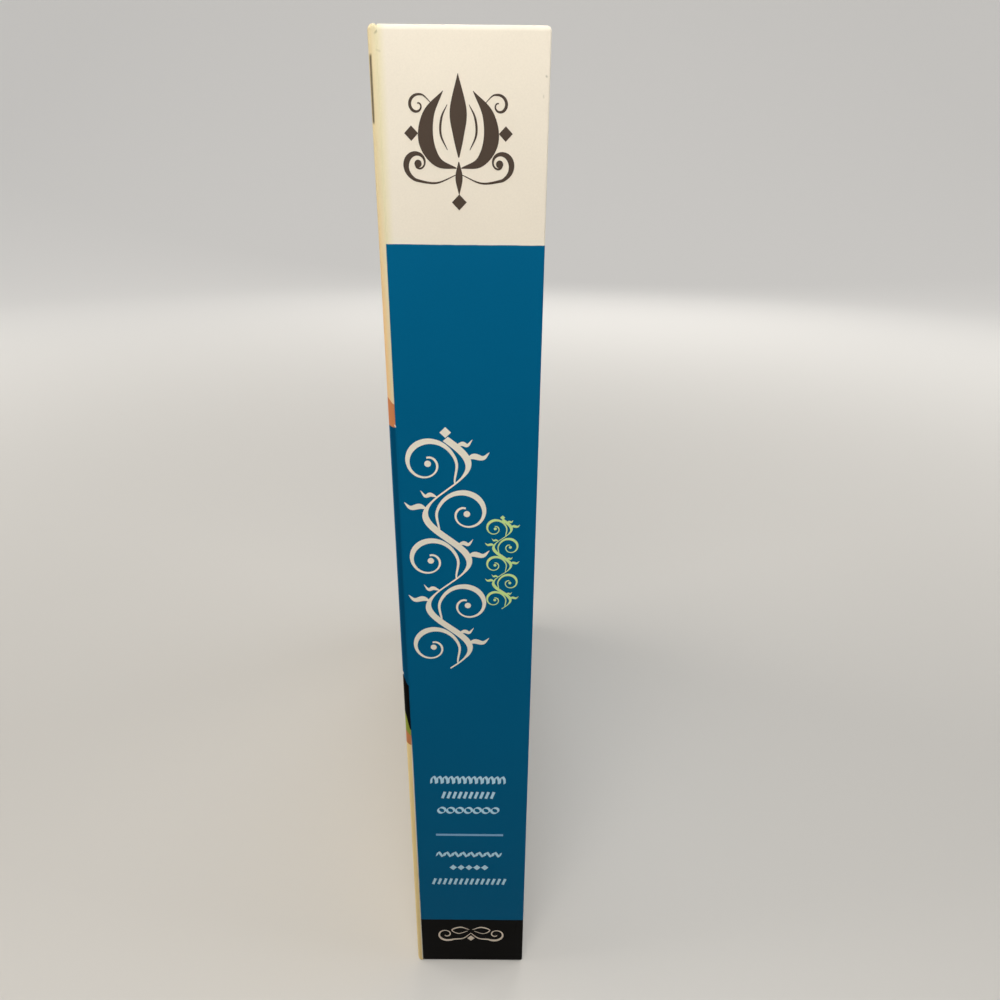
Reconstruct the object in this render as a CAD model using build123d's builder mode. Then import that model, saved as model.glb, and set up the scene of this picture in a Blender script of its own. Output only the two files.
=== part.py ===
"""Calligraphy set box: a book-style board box with a hinged cover panel and its tools inside.

Frame, in millimetres: the box stands on its tail edge with the spine towards -Y, +Z up. The cover
panel is the -X side and hinges along the spine's -X edge; the back panel is the +X side. The origin
is the middle of the footprint, on the surface that the box stands on.
"""

import os

from build123d import *

# ---------------------------------------------------------------- driving dimensions
box_w = 37.0  # across the spine, X
box_d = 216.0  # spine to fore-edge, Y
box_h = 283.0  # tail to head, Z
board_t = 1.5  # greyboard
paper_t = 0.15  # printed wrap and linings
square = 2.0  # how far the panels stand past the tray at head, tail and fore-edge
edge_r = 1.2  # papered board edge, outer side
inner_edge_r = 0.4  # papered board edge, inner side
back_corner_r = 0.45  # spine to back panel
panel_corner_r = 0.8  # corners of a panel seen face on

hinge_gap = 0.3  # between the closed cover panel and everything behind it
hinge_slack = 0.1  # the fold's axis lies this far outside the spine's face
fold_lap = 0.6  # how far the fold strip lies on the cover's edge and on the spine
fold_end = 1.5  # where the fold strip stops short of head and tail
lining_border = 3.0  # wrap turn-in left in sight round the cover's lining

sheet_t = 0.8  # formed plastic of the insert
well_floor_r = 1.2  # round between a well's floor and its walls
well_rim_r = 0.9  # round between the deck and a well's walls
well_meeting_r = 2.0  # round on the corners where two wells run into each other
insert_gap = 0.5  # insert to tray wall
deck_drop = 0.4  # insert deck below the tray's rim

# ---------------------------------------------------------------- planes worked out from them
panel_t = board_t + 2 * paper_t
x_front, x_back = -box_w / 2, box_w / 2
y_spine, y_fore = -box_d / 2, box_d / 2
x_cover_in = x_front + panel_t  # inner face of the cover panel
x_rim = x_cover_in + hinge_gap  # rim of the tray, and the spine panel's free edge
x_floor = x_back - panel_t  # inner face of the back panel
y_spine_in = y_spine + panel_t  # inner face of the spine panel

tray_y0, tray_y1 = y_spine_in, y_fore - square
tray_z0, tray_z1 = square, box_h - square
cavity_y0, cavity_y1 = tray_y0 + board_t + paper_t, tray_y1 - panel_t
cavity_z0, cavity_z1 = tray_z0 + panel_t, tray_z1 - panel_t
x_lining = x_floor - paper_t  # top of the tray's floor lining

insert_y0, insert_y1 = cavity_y0 + insert_gap, cavity_y1 - insert_gap
insert_z0, insert_z1 = cavity_z0 + insert_gap, cavity_z1 - insert_gap
x_deck = x_rim + deck_drop  # top of the insert's deck


def block(x0, x1, y0, y1, z0, z1):
    """A plain box between two corners."""
    with BuildPart() as solid:
        with Locations(((x0 + x1) / 2, (y0 + y1) / 2, (z0 + z1) / 2)):
            Box(x1 - x0, y1 - y0, z1 - z0)
    return solid.part


def well_block(x0, x1, y0, y1, z0, z1, corner_r):
    """A box whose four edges along X are rounded, for wells and the padding round them."""
    with BuildPart() as solid:
        with BuildSketch(Plane.YZ.offset(x0)):
            with Locations(((y0 + y1) / 2, (z0 + z1) / 2)):
                RectangleRounded(y1 - y0, z1 - z0, corner_r)
        extrude(amount=x1 - x0)
    return solid.part


def save(part, name):
    """Labels one finished piece and writes its STEP."""
    part.label = name
    export_step(part, f"parts/{name}.step")


def cover_outline(inset):
    """The papered cover panel, or the board inside it when inset by the paper."""
    outer, inner = edge_r - inset, inner_edge_r - inset
    x_out = x_front + inset
    with BuildPart() as slab:
        add(block(x_out, x_cover_in - inset, y_spine + inset, y_fore - inset, inset, box_h - inset))
        fillet(slab.edges().filter_by(Axis.X), radius=panel_corner_r - inset)
        fillet(slab.faces().sort_by(Axis.X)[0].edges(), radius=outer)
        fillet(slab.faces().sort_by(Axis.X)[-1].edges(), radius=inner)
    return slab.part


def case_outline(inset):
    """The papered spine and back panels, in an L, or the boards inside when inset by the paper."""
    x_free, x_out = x_rim + inset, x_back - inset
    y_out, y_free = y_spine + inset, y_fore - inset
    z_tail, z_head = inset, box_h - inset
    with BuildPart() as angle:
        add(block(x_free, x_out, y_out, y_spine_in - inset, z_tail, z_head))
        add(block(x_floor + inset, x_out, y_out, y_free, z_tail, z_head))
        rims = angle.faces().sort_by(Axis.Z)
        outer_rims = [
            edge
            for face in (rims[0], rims[-1])
            for edge in face.edges()
            if edge.center().X > x_out - 1e-3 or edge.center().Y < y_out + 1e-3
        ]
        fillet(outer_rims, radius=edge_r - inset)
        corner = angle.edges().filter_by(Axis.Z).sort_by(lambda e: e.center().Y - e.center().X)[0]
        fillet(corner, radius=back_corner_r - inset)
        fore_edge = (
            angle.edges()
            .filter_by(Axis.Z)
            .group_by(Axis.Y)[-1]
            .sort_by(Axis.X)[-1]
        )
        fillet(fore_edge, radius=edge_r - inset)
    return angle.part


def fold_groove():
    """The strip of the wrap's outer sheet that the paper hinge takes up."""
    return block(
        x_cover_in - fold_lap, x_rim + fold_lap, y_spine, y_spine + paper_t, fold_end, box_h - fold_end
    )


os.makedirs("parts", exist_ok=True)

# ---------------------------------------------------------------- cover panel
cover_window = block(
    x_cover_in - paper_t,
    x_cover_in,
    y_spine + lining_border,
    y_fore - lining_border,
    lining_border,
    box_h - lining_border,
)

keeper_r, keeper_t = 6.0, 0.5
magnet_r, magnet_t = 5.0, 2.0
closure_y = insert_y1 - 8.7
closure_z = (insert_z0 + 7.7, insert_z1 - 8.7)

with BuildPart() as keeper_discs:
    with BuildSketch(Plane.YZ.offset(x_cover_in - paper_t - keeper_t)):
        with Locations(*[(closure_y, z) for z in closure_z]):
            Circle(keeper_r)
    extrude(amount=keeper_t)
save(keeper_discs.part, "keeper_discs")

with BuildPart() as cover_board:
    add(cover_outline(paper_t))
    add(keeper_discs.part, mode=Mode.SUBTRACT)
save(cover_board.part, "cover_board")

with BuildPart() as cover_wrap:
    add(cover_outline(0))
    add(cover_outline(paper_t), mode=Mode.SUBTRACT)
    add(cover_window, mode=Mode.SUBTRACT)
    add(fold_groove(), mode=Mode.SUBTRACT)
save(cover_wrap.part, "cover_wrap")

with BuildPart() as cover_lining:
    add(cover_window)
save(cover_lining.part, "cover_lining")

with BuildPart() as hinge_fold:
    add(fold_groove())
save(hinge_fold.part, "hinge_fold")

# ---------------------------------------------------------------- spine and back panels
spine_plug = block(x_rim + square, x_floor, y_spine_in - paper_t, y_spine_in, square, box_h - square)
back_plug = block(x_floor, x_floor + paper_t, y_spine_in, y_fore - square, square, box_h - square)
# The two boards meet on this plane, under the wrap's corner.
seam_x = x_floor

with BuildPart() as case_core:
    add(case_outline(paper_t))
    add(spine_plug)
    add(back_plug)

with BuildPart() as case_wrap:
    add(case_outline(0))
    add(case_core.part, mode=Mode.SUBTRACT)
    add(fold_groove(), mode=Mode.SUBTRACT)
save(case_wrap.part, "case_wrap")

with BuildPart() as spine_board:
    add(case_core.part)
    add(block(x_front, seam_x, y_spine, y_fore, 0, box_h), mode=Mode.INTERSECT)
save(spine_board.part, "spine_board")

with BuildPart() as back_board:
    add(case_core.part)
    add(block(seam_x, x_back, y_spine, y_fore, 0, box_h), mode=Mode.INTERSECT)
save(back_board.part, "back_board")

# ---------------------------------------------------------------- tray
x_wall_top = x_rim + paper_t
wall_y1, wall_z0, wall_z1 = tray_y1 - paper_t, tray_z0 + paper_t, tray_z1 - paper_t
walls = {
    "tray_head_wall": block(x_wall_top, x_floor, tray_y0, wall_y1, wall_z1 - board_t, wall_z1),
    "tray_tail_wall": block(x_wall_top, x_floor, tray_y0, wall_y1, wall_z0, wall_z0 + board_t),
    "tray_fore_edge_wall": block(
        x_wall_top, x_floor, wall_y1 - board_t, wall_y1, wall_z0 + board_t, wall_z1 - board_t
    ),
    "tray_spine_wall": block(
        x_wall_top, x_floor, tray_y0, tray_y0 + board_t, wall_z0 + board_t, wall_z1 - board_t
    ),
}
for name, wall in walls.items():
    save(wall, name)

with BuildPart() as tray_paper:
    add(block(x_rim, x_floor, tray_y0, tray_y1, tray_z0, tray_z1))
    add(block(x_rim, x_floor, cavity_y0, cavity_y1, cavity_z0, cavity_z1), mode=Mode.SUBTRACT)
    for wall in walls.values():
        add(wall, mode=Mode.SUBTRACT)
save(tray_paper.part, "tray_paper")

with BuildPart() as tray_floor_lining:
    add(block(x_lining, x_floor, cavity_y0, cavity_y1, cavity_z0, cavity_z1))
save(tray_floor_lining.part, "tray_floor_lining")

# ---------------------------------------------------------------- insert
pad_w, pad_l = 127.0, 203.0  # guide book and practice pad, both the same size
stack_play = 1.5
book_well_y0 = insert_y0 + 4.5
book_well_z1 = insert_z1 - 6.2
pen_y, pencil_y, ruler_y = 58.5, 40.5, 85.0
nib_ys = (-6.0, 11.0, 28.0)
cartridge_pitch, cartridge_mid_y = 8.6, 69.0
eraser_y, eraser_z = -74.5, 28.0

# (y0, y1, z0, z1, depth, corner radius) of every well, measured from the deck
wells = {
    "book": (
        book_well_y0,
        book_well_y0 + pad_w + 2 * stack_play,
        book_well_z1 - pad_l - 2 * stack_play,
        book_well_z1,
        16.5,
        3.0,
    ),
    "book_notch": (-52.0, -18.0, 52.0, 74.0, 13.5, 8.0),
    "pencil": (pencil_y - 5.0, pencil_y + 5.0, 72.0, 262.0, 9.5, 4.0),
    "pen": (pen_y - 8.5, pen_y + 8.5, 66.0, 272.0, 16.5, 6.0),
    "ruler": (ruler_y - 13.5, ruler_y + 13.5, 95.0, 259.0, 4.0, 3.0),
    "finger_trough": (33.0, 101.5, 120.0, 142.0, 12.0, 8.0),
    "cartridges": (cartridge_mid_y - 26.5, cartridge_mid_y + 26.5, 20.0, 61.0, 7.7, 3.0),
    "eraser": (eraser_y - 24.0, eraser_y + 24.0, 16.0, 40.0, 11.0, 3.0),
}
for number, nib_y in enumerate(nib_ys):
    wells[f"nib_{number + 1}"] = (nib_y - 6.5, nib_y + 6.5, 18.0, 58.0, 9.2, 4.0)


def well_space(x0, y0, y1, z0, z1, depth, corner_r):
    """The room inside one well, with a rounded floor."""
    with BuildPart() as room:
        add(well_block(x0, x0 + depth, y0, y1, z0, z1, corner_r))
        fillet(room.faces().sort_by(Axis.X)[-1].edges(), radius=well_floor_r)
    return room.part


def meeting_corners(part):
    """The edges along X where the walls of two wells meet at a sharp corner."""
    faces = part.faces()
    corners = []
    for edge in part.edges().filter_by(Axis.X):
        middle = edge.center()
        normals = [face.normal_at(middle) for face in faces if any(edge.is_same(e) for e in face.edges())]
        if edge.length > well_meeting_r and abs(normals[0].dot(normals[-1])) < 0.9:
            corners.append(edge)
    return corners


with BuildPart() as all_wells:
    for y0, y1, z0, z1, depth, corner_r in wells.values():
        add(well_space(x_deck, y0, y1, z0, z1, depth, corner_r))
    fillet(meeting_corners(all_wells), radius=well_meeting_r)

with BuildPart() as insert:
    add(block(x_deck, x_lining, insert_y0, insert_y1, insert_z0, insert_z1))
    add(
        block(
            x_deck + sheet_t,
            x_lining,
            insert_y0 + sheet_t,
            insert_y1 - sheet_t,
            insert_z0 + sheet_t,
            insert_z1 - sheet_t,
        ),
        mode=Mode.SUBTRACT,
    )
    for y0, y1, z0, z1, depth, corner_r in wells.values():
        x_bottom = x_deck + depth + sheet_t
        add(
            well_block(
                x_deck, x_bottom, y0 - sheet_t, y1 + sheet_t, z0 - sheet_t, z1 + sheet_t, corner_r + sheet_t
            )
        )
    add(all_wells.part, mode=Mode.SUBTRACT)
    fillet(insert.faces().sort_by(Axis.X)[0].edges(), radius=well_rim_r)

# The insert is one formed sheet. It is written as five bays that meet face to face on plain cuts:
# (y0, y1, z0, z1) of each.
bay_z, book_bay_y1, pencil_bay_y1, pen_bay_y1 = 63.5, 31.7, 47.75, 69.25
bays = {
    "insert_book_bay": (insert_y0, book_bay_y1, bay_z, insert_z1),
    "insert_pencil_bay": (book_bay_y1, pencil_bay_y1, bay_z, insert_z1),
    "insert_pen_bay": (pencil_bay_y1, pen_bay_y1, bay_z, insert_z1),
    "insert_ruler_bay": (pen_bay_y1, insert_y1, bay_z, insert_z1),
    "insert_spares_bay": (insert_y0, insert_y1, insert_z0, bay_z),
}
for name, (y0, y1, z0, z1) in bays.items():
    with BuildPart() as bay:
        add(insert.part)
        add(block(x_deck, x_lining, y0, y1, z0, z1), mode=Mode.INTERSECT)
    save(bay.part, name)

with BuildPart() as magnets:
    with BuildSketch(Plane.YZ.offset(x_deck + sheet_t)):
        with Locations(*[(closure_y, z) for z in closure_z]):
            Circle(magnet_r)
    extrude(amount=magnet_t)
save(magnets.part, "magnets")

# ---------------------------------------------------------------- guide book and practice pad
stack_y0 = wells["book"][0] + stack_play
stack_y1 = stack_y0 + pad_w
stack_z0 = wells["book"][2] + stack_play
stack_z1 = stack_z0 + pad_l
pad_card_t, pad_block_t = 1.0, 8.6
tape_t, tape_lap = 0.2, 14.0
book_block_t, book_cover_t = 4.4, 0.3

x_card0 = x_deck + wells["book"][4] - pad_card_t
x_sheets0 = x_card0 - pad_block_t
with BuildPart() as pad_backing:
    add(block(x_card0, x_card0 + pad_card_t, stack_y0, stack_y1, stack_z0, stack_z1 - tape_t))
save(pad_backing.part, "pad_backing")

with BuildPart() as pad_sheets:
    add(block(x_sheets0, x_card0, stack_y0, stack_y1, stack_z0, stack_z1 - tape_t))
save(pad_sheets.part, "pad_sheets")

# The binding tape laps over the head of the pad, down its front.
with BuildPart() as pad_tape:
    add(block(x_sheets0 - tape_t, x_card0 + pad_card_t, stack_y0, stack_y1, stack_z1 - tape_t, stack_z1))
    add(block(x_sheets0 - tape_t, x_sheets0, stack_y0, stack_y1, stack_z1 - tape_lap, stack_z1))
save(pad_tape.part, "pad_tape")

# The book's fold lies along its -Y side, next to the box's own spine.
x_book1 = x_sheets0 - tape_t
x_book0 = x_book1 - book_block_t - 2 * book_cover_t
book_y1 = stack_y1 - 1.0
with BuildPart() as book_cover:
    with BuildSketch(Plane.XY.offset(stack_z0)):
        with BuildLine():
            FilletPolyline(
                (x_book0, book_y1),
                (x_book0, stack_y0),
                (x_book1, stack_y0),
                (x_book1, book_y1),
                radius=1.6,
            )
            Line((x_book1, book_y1), (x_book0, book_y1))
        make_face()
        with BuildLine():
            FilletPolyline(
                (x_book0 + book_cover_t, book_y1),
                (x_book0 + book_cover_t, stack_y0 + book_cover_t),
                (x_book1 - book_cover_t, stack_y0 + book_cover_t),
                (x_book1 - book_cover_t, book_y1),
                radius=1.6 - book_cover_t,
            )
            Line((x_book1 - book_cover_t, book_y1), (x_book0 + book_cover_t, book_y1))
        make_face(mode=Mode.SUBTRACT)
    extrude(amount=pad_l)
save(book_cover.part, "guide_book_cover")

pages_y0 = stack_y0 + book_cover_t
with BuildPart() as book_pages:
    with BuildSketch(Plane.XY.offset(stack_z0)):
        with BuildLine():
            FilletPolyline(
                (x_book0 + book_cover_t, book_y1 - 0.4),
                (x_book0 + book_cover_t, pages_y0),
                (x_book1 - book_cover_t, pages_y0),
                (x_book1 - book_cover_t, book_y1 - 0.4),
                radius=1.6 - book_cover_t,
            )
            Line((x_book1 - book_cover_t, book_y1 - 0.4), (x_book0 + book_cover_t, book_y1 - 0.4))
        make_face()
    extrude(amount=pad_l)
save(book_pages.part, "guide_book_pages")

# Two wire staples lie on the outside of the fold.
staple_w, staple_r = 12.0, 0.25
staple_x = (x_book0 + x_book1) / 2
with BuildPart() as staples:
    for staple_z in (stack_z0 + pad_l * 0.25, stack_z0 + pad_l * 0.75):
        with Locations((staple_x, stack_y0 - staple_r, staple_z)):
            Cylinder(staple_r, staple_w)
save(staples.part, "guide_book_staples")


# ---------------------------------------------------------------- nib units
feed_r, collar_r, collar_l = 2.9, 4.0, 9.0
nib_t = 0.3
nib_inner_r = feed_r + 0.05
nib_base_z, nib_tip_z, nib_tip_half = 10.0, 25.2, 1.15
breather_z = nib_base_z + 4.5


def make_feed():
    """The ribbed ink feed with its round collar, standing on z = 0, its nib side towards -X."""
    with BuildPart() as feed:
        with BuildSketch():
            Circle(collar_r)
        extrude(amount=collar_l)
        fillet(feed.faces().sort_by(Axis.Z)[0].edges(), radius=0.4)
        with BuildSketch(Plane.XY.offset(collar_l)):
            Circle(feed_r)
        extrude(amount=6.0)
        with BuildSketch(Plane.XY.offset(collar_l + 6.0)):
            Circle(feed_r)
        with BuildSketch(Plane.XY.offset(collar_l + 13.0)):
            with Locations((-1.3, 0)):
                Circle(1.2)
        loft()
        # Fins: narrow slots across the side away from the nib.
        for slot in range(6):
            slot_z = collar_l + 1.2 + slot * 1.6
            with Locations((feed_r - 0.3, 0, slot_z)):
                Box(1.6, 2 * feed_r, 0.6, mode=Mode.SUBTRACT)
    return feed.part


def make_nib():
    """The broad metal nib: a curved sheet over the feed, cut to a broad square tip, with its slit."""
    with BuildPart() as nib:
        with BuildSketch(Plane.XY.offset(nib_base_z)):
            Circle(nib_inner_r + nib_t)
            Circle(nib_inner_r, mode=Mode.SUBTRACT)
        extrude(amount=nib_tip_z - nib_base_z)
        # The planform, seen from the nib's own side.
        with BuildSketch(Plane.YZ.offset(-nib_inner_r - 2)) as planform:
            with BuildLine():
                Polyline(
                    (-nib_tip_half, nib_tip_z),
                    (nib_tip_half, nib_tip_z),
                    (nib_tip_half + 0.1, nib_tip_z - 2.5),
                    (2.7, nib_base_z + 5.5),
                    (2.6, nib_base_z),
                    (-2.6, nib_base_z),
                    (-2.7, nib_base_z + 5.5),
                    (-nib_tip_half - 0.1, nib_tip_z - 2.5),
                    close=True,
                )
            make_face()
        extrude(amount=nib_inner_r + 2, mode=Mode.INTERSECT)
        # Breather hole and slit.
        with BuildSketch(Plane.YZ.offset(-nib_inner_r - 2)):
            with Locations((0, breather_z)):
                Circle(0.55)
            with Locations((0, (breather_z + nib_tip_z) / 2)):
                Rectangle(0.1, nib_tip_z - breather_z)
        extrude(amount=nib_inner_r + 2, mode=Mode.SUBTRACT)
    return nib.part


feed_solid = make_feed()
nib_solid = make_nib()

# ---------------------------------------------------------------- pen
pen_x = x_deck + 9.8
pen_tail_z = 70.0
barrel_l, grip_l = 78.0, 20.0
barrel_r, barrel_tail_r, cap_r, cap_bore_r = 5.6, 4.6, 6.4, 5.75
barrel_bore_r = 4.15
grip_root_r, grip_lip_r = 5.1, 4.5
tenon_r, tenon_l = 4.05, 8.0
grip_z = pen_tail_z + barrel_l
unit_z = grip_z + grip_l - collar_l
cap_z0 = grip_z - 5.0
cap_l = 64.0
cap_z1 = cap_z0 + cap_l
cap_travel = 50.0

with BuildPart() as pen_barrel:
    with BuildSketch(Plane.XZ.offset(-pen_y)):
        with BuildLine():
            Polyline(
                (pen_x, pen_tail_z),
                (pen_x + barrel_tail_r - 0.8, pen_tail_z),
                (pen_x + barrel_tail_r, pen_tail_z + 0.8),
                (pen_x + barrel_r, pen_tail_z + 50.0),
                (pen_x + barrel_r, cap_z0 - 0.5),
                (pen_x + cap_bore_r - 0.25, cap_z0 - 0.5),
                (pen_x + cap_bore_r - 0.25, grip_z),
                (pen_x, grip_z),
                close=True,
            )
        make_face()
    revolve(axis=Axis((pen_x, pen_y, 0), (0, 0, 1)))
    with BuildSketch(Plane.XY.offset(grip_z)):
        with Locations((pen_x, pen_y)):
            Circle(barrel_bore_r)
    extrude(amount=-60.0, mode=Mode.SUBTRACT)
save(pen_barrel.part, "pen_barrel")

with BuildPart() as pen_grip:
    with BuildSketch(Plane.XZ.offset(-pen_y)):
        with BuildLine():
            Polyline(
                (pen_x, grip_z - tenon_l),
                (pen_x + tenon_r, grip_z - tenon_l),
                (pen_x + tenon_r, grip_z),
                (pen_x + grip_root_r, grip_z),
                (pen_x + grip_lip_r - 0.2, grip_z + grip_l - 4.0),
                (pen_x + grip_lip_r + 0.2, grip_z + grip_l - 1.0),
                (pen_x + grip_lip_r, grip_z + grip_l),
                (pen_x, grip_z + grip_l),
                close=True,
            )
        make_face()
    revolve(axis=Axis((pen_x, pen_y, 0), (0, 0, 1)))
    with BuildSketch(Plane.XY.offset(grip_z + grip_l)):
        with Locations((pen_x, pen_y)):
            Circle(collar_r + 0.02)
    extrude(amount=-collar_l, mode=Mode.SUBTRACT)
save(pen_grip.part, "pen_grip")

with BuildPart() as pen_feed:
    with Locations((pen_x, pen_y, unit_z)):
        add(feed_solid)
save(pen_feed.part, "pen_feed")

with BuildPart() as pen_nib:
    with Locations((pen_x, pen_y, unit_z)):
        add(nib_solid)
save(pen_nib.part, "pen_nib")


def cartridge(length, radius):
    """A short international ink cartridge, standing on z = 0, with a stepped neck."""
    with BuildPart() as tube:
        Cylinder(radius, length - 4.0, align=(Align.CENTER, Align.CENTER, Align.MIN))
        fillet(tube.faces().sort_by(Axis.Z)[0].edges(), radius=0.9)
        fillet(tube.faces().sort_by(Axis.Z)[-1].edges(), radius=0.9)
        with Locations((0, 0, length - 4.0)):
            Cylinder(radius * 0.55, 4.0, align=(Align.CENTER, Align.CENTER, Align.MIN))
    return tube.part


cartridge_l, cartridge_r = 38.5, 3.7
cartridge_solid = cartridge(cartridge_l, cartridge_r)
with BuildPart() as pen_cartridge:
    with Locations((pen_x, pen_y, grip_z - tenon_l - cartridge_l)):
        add(cartridge_solid)
save(pen_cartridge.part, "pen_ink_cartridge")

band_l, band_r = 5.0, 6.6
with BuildPart() as pen_cap_band:
    with BuildSketch(Plane.XY.offset(cap_z0)):
        with Locations((pen_x, pen_y)):
            Circle(band_r)
            Circle(cap_bore_r, mode=Mode.SUBTRACT)
    extrude(amount=band_l)
    fillet(pen_cap_band.faces().sort_by(Axis.Z)[0].edges().sort_by(SortBy.LENGTH)[-1], radius=0.3)
save(pen_cap_band.part, "pen_cap_band")

with BuildPart() as pen_cap:
    with BuildSketch(Plane.XZ.offset(-pen_y)):
        with BuildLine():
            Polyline(
                (pen_x, cap_z0 + band_l),
                (pen_x + cap_r, cap_z0 + band_l),
                (pen_x + cap_r - 0.5, cap_z1 - 4.0),
                (pen_x + cap_r - 1.3, cap_z1 - 0.8),
                (pen_x + cap_r - 2.1, cap_z1),
                (pen_x, cap_z1),
                close=True,
            )
        make_face()
    revolve(axis=Axis((pen_x, pen_y, 0), (0, 0, 1)))
    with BuildSketch(Plane.XY.offset(cap_z0 + band_l)):
        with Locations((pen_x, pen_y)):
            Circle(cap_bore_r - 0.35)
    extrude(amount=cap_l - band_l - 4.0, mode=Mode.SUBTRACT)
save(pen_cap.part, "pen_cap")

# Spring clip: a thin strip on the side that faces the cover, rooted at the cap's end.
clip_w, clip_t, clip_l = 3.4, 0.6, 40.0
clip_x = pen_x - cap_r - 1.9
with BuildPart() as pen_clip:
    with BuildSketch(Plane.XZ.offset(-pen_y)):
        with BuildLine():
            Polyline(
                (pen_x - cap_r + 0.48, cap_z1 - 4.2),
                (clip_x, cap_z1 - 4.2),
                (clip_x, cap_z1 - 4.2 - clip_l),
                (clip_x + clip_t, cap_z1 - 4.2 - clip_l),
                (clip_x + clip_t, cap_z1 - 8.4),
                (pen_x - cap_r + 0.48, cap_z1 - 8.4),
                close=True,
            )
        make_face()
    extrude(amount=clip_w / 2, both=True)
    add(pen_cap.part, mode=Mode.SUBTRACT)
    with Locations((clip_x + clip_t + 0.35, pen_y, cap_z1 - 4.2 - clip_l + 2.0)):
        Sphere(0.75)
    add(pen_cap.part, mode=Mode.SUBTRACT)
save(pen_clip.part, "pen_clip")

# ---------------------------------------------------------------- spares
spare_x = x_deck + wells["nib_1"][4] - collar_r - 0.1
spare_z = 21.0
with BuildPart() as spare_feeds:
    with Locations(*[(spare_x, nib_y, spare_z) for nib_y in nib_ys]):
        add(feed_solid)
save(spare_feeds.part, "spare_nib_feeds")

with BuildPart() as spare_nibs:
    with Locations(*[(spare_x, nib_y, spare_z) for nib_y in nib_ys]):
        add(nib_solid)
save(spare_nibs.part, "spare_nibs")

cartridge_x = x_deck + wells["cartridges"][4] - cartridge_r - 0.05
cartridge_z = 21.3
for name, places in (("black_ink_cartridges", (0, 1, 2)), ("blue_ink_cartridges", (3, 4, 5))):
    spots = [
        (cartridge_x, cartridge_mid_y + (place - 2.5) * cartridge_pitch, cartridge_z) for place in places
    ]
    with BuildPart() as cartridges:
        with Locations(*spots):
            add(cartridge_solid)
    save(cartridges.part, name)

# ---------------------------------------------------------------- pencil
pencil_flats, pencil_l, lead_r, cone_l = 7.2, 175.0, 1.1, 22.0
pencil_x = x_deck + wells["pencil"][4] - pencil_flats / 2 - 0.02
pencil_z0 = 76.0
pencil_z1 = pencil_z0 + pencil_l
lead_bare = 5.0
with BuildPart() as pencil_body:
    with BuildSketch(Plane.XY.offset(pencil_z0)):
        with Locations((pencil_x, pencil_y)):
            RegularPolygon(pencil_flats / 2, 6, major_radius=False, rotation=30)
    extrude(amount=pencil_l - lead_bare)
    # Sharpened end: what lies outside the cone is cut away.
    with BuildSketch(Plane.XZ.offset(-pencil_y)):
        with BuildLine():
            Polyline(
                (pencil_x + lead_r, pencil_z1 - lead_bare),
                (pencil_x + 6.0, pencil_z1 - lead_bare),
                (pencil_x + 6.0, pencil_z1 - cone_l - 4.3),
                (pencil_x + pencil_flats / 2 + 0.75, pencil_z1 - cone_l - 4.3),
                close=True,
            )
        make_face()
    revolve(axis=Axis((pencil_x, pencil_y, 0), (0, 0, 1)), mode=Mode.SUBTRACT)
    with BuildSketch(Plane.XY.offset(pencil_z0)):
        with Locations((pencil_x, pencil_y)):
            Circle(lead_r)
    extrude(amount=pencil_l, mode=Mode.SUBTRACT)
save(pencil_body.part, "pencil_body")

with BuildPart() as pencil_lead:
    with BuildSketch(Plane.XZ.offset(-pencil_y)):
        with BuildLine():
            Polyline(
                (pencil_x, pencil_z0),
                (pencil_x + lead_r, pencil_z0),
                (pencil_x + lead_r, pencil_z1 - lead_bare),
                (pencil_x + 0.2, pencil_z1),
                (pencil_x, pencil_z1),
                close=True,
            )
        make_face()
    revolve(axis=Axis((pencil_x, pencil_y, 0), (0, 0, 1)))
save(pencil_lead.part, "pencil_lead")

# ---------------------------------------------------------------- eraser and ruler
eraser_l, eraser_w, eraser_h, sleeve_t = 44.0, 18.0, 9.4, 0.3
eraser_x = x_deck + wells["eraser"][4] - sleeve_t - eraser_h / 2
with BuildPart() as eraser:
    with Locations((eraser_x, eraser_y, eraser_z)):
        Box(eraser_h, eraser_l, eraser_w)
    fillet(eraser.faces().sort_by(Axis.Y)[0].edges(), radius=1.0)
    fillet(eraser.faces().sort_by(Axis.Y)[-1].edges(), radius=1.0)
save(eraser.part, "eraser")

with BuildPart() as eraser_sleeve:
    with Locations((eraser_x, eraser_y - 5.0, eraser_z)):
        Box(eraser_h + 2 * sleeve_t, eraser_l - 16.0, eraser_w + 2 * sleeve_t)
        Box(eraser_h, eraser_l, eraser_w, mode=Mode.SUBTRACT)
save(eraser_sleeve.part, "eraser_sleeve")

ruler_l, ruler_w, ruler_t, bevel_w = 160.0, 24.0, 1.8, 6.0
ruler_x1 = x_deck + wells["ruler"][4]
ruler_z0 = 97.0
with BuildPart() as ruler:
    with BuildSketch(Plane.XY.offset(ruler_z0)):
        with BuildLine():
            Polyline(
                (ruler_x1, ruler_y - ruler_w / 2),
                (ruler_x1, ruler_y + ruler_w / 2),
                (ruler_x1 - ruler_t, ruler_y + ruler_w / 2),
                (ruler_x1 - ruler_t, ruler_y - ruler_w / 2 + bevel_w),
                (ruler_x1 - 0.7, ruler_y - ruler_w / 2),
                close=True,
            )
        make_face()
    extrude(amount=ruler_l)
    fillet(ruler.edges().filter_by(Axis.X), radius=1.2)
save(ruler.part, "ruler")

# ---------------------------------------------------------------- joints
cover_axis = ((x_cover_in + x_rim) / 2, y_spine - hinge_slack)
print("cover hinge: vertical axis through", cover_axis, "opening 0 to 178 degrees")
print("pen cap: slides off along +Z, 0 to", cap_travel, "of", wells["pen"][3] - cap_z1, "free in its well")
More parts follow.
